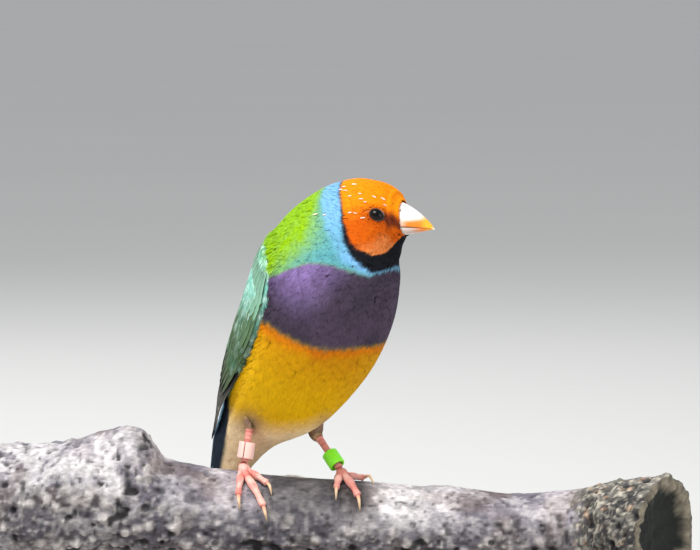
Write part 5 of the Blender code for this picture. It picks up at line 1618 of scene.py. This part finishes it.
def end_face(rim, normal, depth):
    """Rings from the rim of a cut to its middle: flat and ringed where it was sawn, or a rotted
    hollow of the given depth."""
    middle = rim.mean(0)
    shares = np.array([0.97, 0.9, 0.82, 0.74, 0.66, 0.58, 0.5, 0.42, 0.34, 0.26, 0.18, 0.1, 0.04])
    rows, tints = [], []
    for share in shares:
        ring = middle + (rim - middle) * share
        noise = rough_noise(ring, 2.6, 107) - 0.5
        if depth:
            sink = np.interp(share, (0.0, 0.5, 0.7, 0.84, 1.0), (1.0, 1.0, 0.55, -0.15, 0.0))
            ring = ring - normal * (depth * sink + 2.0 * noise * (share < 0.95))[:, None]
            # Painted shade: the hollow turns near black the deeper it sinks.
            tone = paint("hollow_rim", ("hollow", clip(1.6 * sink + 2.4 * noise + 0.15)))
            tone = tone * (0.35 + 1.1 * value_noise(ring, 0.9, 163))[..., None]
        else:
            away = np.linalg.norm(ring - middle, axis=1) * (1 + 0.06 * noise)
            tone = paint("sawn", ("sawn_ring", 0.5 + 0.5 * np.sin(away * 5.5)))
        rows.append(ring)
        tints.append(tone)
    return np.array(rows), np.array(tints)


BASE_LENGTH, BASE_DEPTH = 128.0, 80.0
ROD_X = (-44.0, 40.0)


def make_base(material):
    """The base: a superellipse outline |x|^5 + |y|^5 = 1, carried up a moulded edge."""
    turn = circle(240)
    outline = signed_power(np.stack([np.cos(turn), np.sin(turn)], axis=-1), 0.4)
    edge = [(0.6, 0.0), (0.25, 0.1), (0.02, 0.5), (0.02, 2.0), (0.02, 4.0), (0.02, 5.3), (0.12, 5.8),
            (0.55, 6.0), (0.62, 6.15), (0.62, 6.4), (0.7, 6.7), (0.95, 7.2), (1.4, 7.65),
            (1.95, 7.9), (2.6, 8.0), (8.0, 8.0), (20.0, 8.0), (32.0, 8.0)]
    rings = []
    for inset, z in edge:
        half = np.array([BASE_LENGTH / 2 - inset, BASE_DEPTH / 2 - inset])
        rings.append(np.column_stack([outline * half, np.full(len(turn), z)]))
    make_tube("base", rings, material, slot="base_wood", replaced=("stand_base",))


def make_rods(material):
    """Two turned rods with a flange and a small bead, whose tops end inside the bark."""
    turn = circle(64)
    for name, x in zip(("left", "right"), ROD_X):
        axis, radius = branch_line(x)
        top = float(axis - radius) + 0.9
        profile = [(4.3, 8.05), (4.5, 8.2), (4.5, 9.2), (4.3, 9.5), (3.6, 9.8), (2.9, 10.1),
                   (2.6, 10.6), (2.5, 11.4), (2.5, 14.0), (2.5, 18.0), (2.5, top)]
        rings = [np.column_stack([x + r * np.cos(turn), r * np.sin(turn), np.full(64, z)])
                 for r, z in profile]
        make_tube(f"rod_{name}", rings, material, slot="rod_brass", replaced=(f"stand_rod_{name}",))


def new_group(name, inputs, outputs):
    """An empty shader node group with the given sockets."""
    group = bpy.data.node_groups.new(name, "ShaderNodeTree")
    for way, sockets in (("INPUT", inputs), ("OUTPUT", outputs)):
        for socket, kind in sockets.items():
            group.interface.new_socket(socket, in_out=way, socket_type=f"NodeSocket{kind}")
    return group, group.nodes.new("NodeGroupInput").outputs, group.nodes.new("NodeGroupOutput")


def feed(tree, node, sources):
    """Links sockets to a node's inputs, or sets the inputs to plain values."""
    for key, value in sources.items():
        if isinstance(value, bpy.types.NodeSocket):
            tree.links.new(value, node.inputs[key])
        else:
            node.inputs[key].default_value = value


def add_node(tree, kind, sources=None, **settings):
    """A shader node with its settings and its inputs; returns its outputs."""
    node = tree.nodes.new(f"ShaderNode{kind}")
    for name, value in settings.items():
        setattr(node, name, value)
    feed(tree, node, sources or {})
    return node.outputs


def calculate(tree, operation, first, second):
    """The output of a math node."""
    return add_node(tree, "Math", {0: first, 1: second}, operation=operation)[0]


def mottle_group():
    """Colour x (1 + amount (noise - 0.5)), roughness + spread (noise - 0.5), and the noise as a
    height, all from one noise in the object's own coordinates."""
    group, given, out = new_group(
        "Mottle", {"Color": "Color", "Stretch": "Vector", "Scale": "Float", "Amount": "Float",
                   "Roughness": "Float", "Spread": "Float"},
        {"Color": "Color", "Roughness": "Float", "Height": "Float"})
    places = add_node(group, "TexCoord")["Object"]
    scaled = add_node(group, "VectorMath", {0: places, 1: given["Stretch"]}, operation="MULTIPLY")
    noise = add_node(group, "TexNoise", {"Vector": scaled[0], "Scale": given["Scale"], "Detail": 4.0})[0]
    swing = calculate(group, "SUBTRACT", noise, 0.5)

    def around(middle, reach):
        return calculate(group, "ADD", calculate(group, "MULTIPLY", swing, given[reach]), middle)

    shaded = add_node(group, "VectorMath", {0: given["Color"], "Scale": around(1.0, "Amount")},
                      operation="SCALE")
    feed(group, out, {"Color": shaded[0], "Roughness": around(given["Roughness"], "Spread"),
                      "Height": noise})
    return group


def barb_group():
    """Barbs that slant out from the shaft: sin(k (along - 0.9 across)) in the vane's own map."""
    group, _, out = new_group("Barbs", {}, {"Height": "Float"})
    places = add_node(group, "UVMap", uv_map="Vane")[0]
    parts = add_node(group, "SeparateXYZ", {0: places})
    slant = calculate(group, "MULTIPLY", parts[0], 0.9)
    phase = calculate(group, "SUBTRACT", parts[1], slant)
    steps = calculate(group, "MULTIPLY", phase, 24.0)
    feed(group, out, {"Height": calculate(group, "SINE", steps, 0.0)})
    return group


def finish_material(name, color=None, stretch=(1, 1, 1), scale=900.0, amount=0.2, roughness=0.6,
                    spread=0.15, bump=0.0, height=0.0001, barbs=0.0, **direct):
    """A material whose colour is the mesh's own Tint or one hue, mottled, with a fine bump."""
    material = bpy.data.materials.new(name)
    material.use_nodes = True
    tree = material.node_tree
    if color is None:
        tint = add_node(tree, "Attribute", attribute_name="Tint")["Color"]
    else:
        tint = (*linear(color), 1.0)
    mottled = add_node(
        tree, "Group", {"Color": tint, "Stretch": stretch, "Scale": scale, "Amount": amount,
                        "Roughness": roughness, "Spread": spread},
        node_tree=bpy.data.node_groups.get("Mottle") or mottle_group())
    sources = {"Base Color": mottled["Color"], "Roughness": mottled["Roughness"]}
    source = mottled["Height"]
    if barbs:
        group = bpy.data.node_groups.get("Barbs") or barb_group()
        source = add_node(tree, "Group", node_tree=group)["Height"]
        bump, height = barbs, 0.00002
    if bump:
        relief = {"Strength": bump, "Distance": height, "Height": source}
        sources["Normal"] = add_node(tree, "Bump", relief)["Normal"]
    sources.update({socket.replace("_", " "): value for socket, value in direct.items()})
    feed(tree, tree.nodes["Principled BSDF"], sources)
    return material


PIXELS_PER_MM, PHOTO_WIDTH = 4.1, 700


def make_stage(key, fill, tone):
    """The camera of the photograph, a pale floor and soft light from above and the left."""
    scene = bpy.context.scene
    scene.view_settings.view_transform = "Standard"
    elevation, distance = radians(4.0), 1.2
    aim = np.array([1.5, 0.0, LEVEL_Z + 205 / PIXELS_PER_MM]) * MM
    back = np.array([0.0, -cos(elevation), sin(elevation)])
    data = bpy.data.cameras.new("camera")
    data.sensor_width = 36.0
    data.lens = 36.0 * distance / (PHOTO_WIDTH / PIXELS_PER_MM * MM)
    data.clip_start, data.clip_end = 0.01, 100.0
    camera = add_object("camera", data)
    camera.location = aim + back * distance
    camera.rotation_mode = "QUATERNION"
    camera.rotation_quaternion = track(-back)
    scene.camera = camera
    floor = bpy.data.meshes.new("floor")
    floor.from_pydata([(-30, -30, 0), (30, -30, 0), (30, 30, 0), (-30, 30, 0)], [], [(0, 1, 2, 3)])
    floor.materials.append(finish_material("pale_floor", tone, scale=3.0, amount=0.05,
                                           roughness=0.85, spread=0.05))
    ground = add_object("floor", floor)
    add_light("key", key, 0.6, (-0.40, -0.55, 1.10), (0.0, 0.0, 0.08), (1.0, 0.985, 0.96))
    add_light("fill", fill, 0.9, (0.9, -0.8, 0.35), (0.0, 0.0, 0.08), (0.94, 0.97, 1.0))
    add_light("rim", fill * 0.8, 0.5, (-0.3, 0.8, 0.8), (0.0, 0.0, 0.09), (1.0, 1.0, 1.0))
    world = bpy.data.worlds.new("studio")
    world.use_nodes = True
    feed(world.node_tree, world.node_tree.nodes["Background"],
         {"Color": (0.80, 0.82, 0.85, 1.0), "Strength": 0.75})
    scene.world = world


def track(direction):
    """The quaternion that turns a camera to look along a direction, with Z upwards."""
    forward = unit(np.asarray(direction, float))
    right = unit(np.cross(forward, (0, 0, 1)))
    up = np.cross(right, forward)
    matrix = np.column_stack([right, up, -forward])
    w = sqrt(max(1 + matrix.trace(), 1e-12)) / 2
    return (w, (matrix[2, 1] - matrix[1, 2]) / (4 * w), (matrix[0, 2] - matrix[2, 0]) / (4 * w),
            (matrix[1, 0] - matrix[0, 1]) / (4 * w))


def add_light(name, power, size, location, aim, color):
    """A soft square lamp that looks at a point."""
    data = bpy.data.lights.new(name, "AREA")
    data.energy, data.size, data.color = power, size, color
    lamp = add_object(name, data)
    lamp.location = location
    lamp.rotation_mode = "QUATERNION"
    lamp.rotation_quaternion = track(np.array(aim) - np.array(location))


class FinchPlumage(bpy.types.PropertyGroup):
    """How the feathers are made."""

    density: bpy.props.FloatProperty(
        name="Density", description="Feathers on the same area, 1 as modelled", default=1.0,
        min=0.1, max=1.3, subtype="FACTOR")
    seed: bpy.props.IntProperty(
        name="Seed", description="Picks the places of the feathers", default=7, min=0)
    barbs: bpy.props.FloatProperty(
        name="Barbs", description="Strength of the barbs on wings and tail", default=0.35,
        min=0.0, max=1.0, subtype="FACTOR")


class FinchPerch(bpy.types.PropertyGroup):
    """How the bark and the stand look."""

    bark_bump: bpy.props.FloatProperty(
        name="Bark bump", description="Depth of the fine grain of the bark", default=0.0004,
        min=0.0, max=0.002, subtype="DISTANCE", unit="LENGTH")


class FinchStage(bpy.types.PropertyGroup):
    """The light and the floor."""

    key: bpy.props.FloatProperty(
        name="Key light", description="Power of the main lamp", default=17.0, min=0.0,
        unit="POWER")
    fill: bpy.props.FloatProperty(
        name="Fill light", description="Power of the lamp on the other side", default=5.0,
        min=0.0, unit="POWER")
    tone: bpy.props.FloatVectorProperty(
        name="Floor", description="Colour of the floor on a screen",
        default=(0.80, 0.80, 0.79), min=0.0, max=1.0, size=3, subtype="COLOR_GAMMA")


class FINCH_OT_skin(bpy.types.Operator):
    """Makes the closed skin with its lids, which the feathers grow from"""

    bl_idname = "finch.skin"
    bl_label = "Skin"

    def execute(self, context):
        skin = finish_material("bare_skin", scale=1500.0, amount=0.3, roughness=0.62, bump=0.4,
                               height=0.00015)
        make_skin(skin)
        return {"FINISHED"}


class FINCH_OT_coat(bpy.types.Operator):
    """Makes the body's and thighs' feathers"""

    bl_idname = "finch.coat"
    bl_label = "Coat"

    def execute(self, context):
        settings = context.scene.finch_plumage
        down = finish_material("plumage", scale=700.0, amount=0.12, roughness=0.75,
                               Specular_IOR_Level=0.12)
        make_coat(down, settings.density, settings.seed)
        make_bill_edge(down, settings.seed)
        make_thigh_coat(down, settings.seed)
        sheath = finish_material("quill_sheath", scale=1500.0, amount=0.2, roughness=0.4)
        make_quills(sheath, settings.seed)
        return {"FINISHED"}


class FINCH_OT_wings(bpy.types.Operator):
    """Makes both folded wings, feather by feather"""

    bl_idname = "finch.wings"
    bl_label = "Wings"

    def execute(self, context):
        settings = context.scene.finch_plumage
        vanes = finish_material("wing_vanes", scale=800.0, amount=0.25, roughness=0.5,
                                barbs=settings.barbs, Specular_IOR_Level=0.4)
        under = finish_material("wing_down", scale=900.0, amount=0.2, roughness=0.65,
                                Specular_IOR_Level=0.25)
        for side in (1, -1):
            make_wing(side, vanes, under, settings.seed + 20)
        return {"FINISHED"}


class FINCH_OT_tail(bpy.types.Operator):
    """Makes the tail and its coverts"""

    bl_idname = "finch.tail"
    bl_label = "Tail"

    def execute(self, context):
        settings = context.scene.finch_plumage
        vanes = finish_material("tail_vanes", scale=800.0, amount=0.25, roughness=0.45,
                                barbs=settings.barbs)
        make_tail(vanes, settings.seed + 40)
        return {"FINISHED"}


class FINCH_OT_face(bpy.types.Operator):
    """Makes the eyes and both halves of the bill"""

    bl_idname = "finch.face"
    bl_label = "Eyes and bill"

    def execute(self, context):
        wet = finish_material("eye_surface", scale=600.0, amount=0.1, roughness=0.10, spread=0.03,
                              Specular_IOR_Level=0.16, Coat_Weight=0.06, Coat_Roughness=0.05)
        horn = finish_material("bill_horn", stretch=(0.5, 0.5, 1.6), scale=500.0, amount=0.12,
                               roughness=0.36, spread=0.12, bump=0.15, Coat_Weight=0.25,
                               Coat_Roughness=0.3, Subsurface_Weight=0.12, Subsurface_Scale=0.002)
        make_eyes(wet)
        make_bill(horn)
        return {"FINISHED"}


class FINCH_OT_legs(bpy.types.Operator):
    """Makes the legs, feet, claws and the rings that the bird wears"""

    bl_idname = "finch.legs"
    bl_label = "Legs and rings"

    def execute(self, context):
        bare = finish_material("leg_surface", scale=1800.0, amount=0.25, roughness=0.5,
                               bump=0.3, height=0.0001, Subsurface_Weight=0.1, Subsurface_Scale=0.001)
        horn = finish_material("claw_surface", scale=900.0, amount=0.2, roughness=0.35, bump=0.1)
        pink = finish_material("pink_plastic", (0.96, 0.79, 0.75), scale=400.0, amount=0.12,
                               roughness=0.38, spread=0.15, bump=0.08)
        green = finish_material("green_plastic", (0.56, 1.0, 0.20), scale=400.0, amount=0.15,
                                roughness=0.36, spread=0.15, bump=0.08)
        for name, foot in FEET.items():
            make_tarsus(name, foot, bare)
            make_foot(name, foot, bare, horn)
        make_ring("ring_right", FEET["right"], pink, radians(75), "band_right", "pink_ring")
        make_ring("ring_left", FEET["left"], green, radians(-110), "band_left", "green_ring")
        return {"FINISHED"}


class FINCH_OT_branch(bpy.types.Operator):
    """Makes the cut length of branch with its bark"""

    bl_idname = "finch.branch"
    bl_label = "Branch"

    def execute(self, context):
        settings = context.scene.finch_perch
        bark = finish_material("bark_surface", stretch=(0.6, 1, 1), scale=1300.0, amount=1.1,
                               roughness=0.85, bump=0.8, height=settings.bark_bump)
        make_branch(bark)
        return {"FINISHED"}


class FINCH_OT_stand(bpy.types.Operator):
    """Makes the wooden base and the two brass rods"""

    bl_idname = "finch.stand"
    bl_label = "Stand"

    def execute(self, context):
        wood = finish_material("walnut", (0.34, 0.21, 0.13), stretch=(0.12, 1.6, 1.0),
                               scale=160.0, amount=1.1, roughness=0.42, spread=0.25, bump=0.15,
                               height=0.0002, Coat_Weight=0.3, Coat_Roughness=0.25)
        brass = finish_material("brass", (0.80, 0.66, 0.38), stretch=(1, 1, 0.05), scale=1500.0,
                                amount=0.2, roughness=0.28, spread=0.2, Metallic=1.0)
        make_base(wood)
        make_rods(brass)
        return {"FINISHED"}


class FINCH_OT_stage(bpy.types.Operator):
    """Makes the camera, the floor and the lights"""

    bl_idname = "finch.stage"
    bl_label = "Stage"

    def execute(self, context):
        settings = context.scene.finch_stage
        make_stage(settings.key, settings.fill, tuple(settings.tone))
        return {"FINISHED"}


OPERATORS = (
    FINCH_OT_skin, FINCH_OT_coat, FINCH_OT_wings, FINCH_OT_tail, FINCH_OT_face, FINCH_OT_legs,
    FINCH_OT_branch, FINCH_OT_stand, FINCH_OT_stage,
)


class FINCH_PT_parts(bpy.types.Panel):
    """The finch's pieces and their settings"""

    bl_label = "Finch"
    bl_idname = "FINCH_PT_parts"
    bl_space_type = "VIEW_3D"
    bl_region_type = "UI"
    bl_category = "Finch"

    def draw(self, context):
        layout = self.layout
        for settings in (context.scene.finch_plumage, context.scene.finch_perch,
                         context.scene.finch_stage):
            for name in settings.__annotations__:
                layout.prop(settings, name)
        for operator in OPERATORS:
            layout.operator(operator.bl_idname)


SETTINGS = {
    "finch_plumage": FinchPlumage,
    "finch_perch": FinchPerch,
    "finch_stage": FinchStage,
}


def register():
    """Adds the settings, the operators and the panel."""
    for name, group in SETTINGS.items():
        bpy.utils.register_class(group)
        setattr(bpy.types.Scene, name, bpy.props.PointerProperty(type=group))
    for operator in OPERATORS:
        bpy.utils.register_class(operator)
    bpy.utils.register_class(FINCH_PT_parts)


def unregister():
    """Takes them away again."""
    bpy.utils.unregister_class(FINCH_PT_parts)
    for operator in reversed(OPERATORS):
        bpy.utils.unregister_class(operator)
    for name, group in SETTINGS.items():
        delattr(bpy.types.Scene, name)
        bpy.utils.unregister_class(group)


def main():
    register()
    for operator in OPERATORS:
        getattr(bpy.ops.finch, operator.bl_idname.split(".")[1])()


if __name__ == "__main__":
    main()
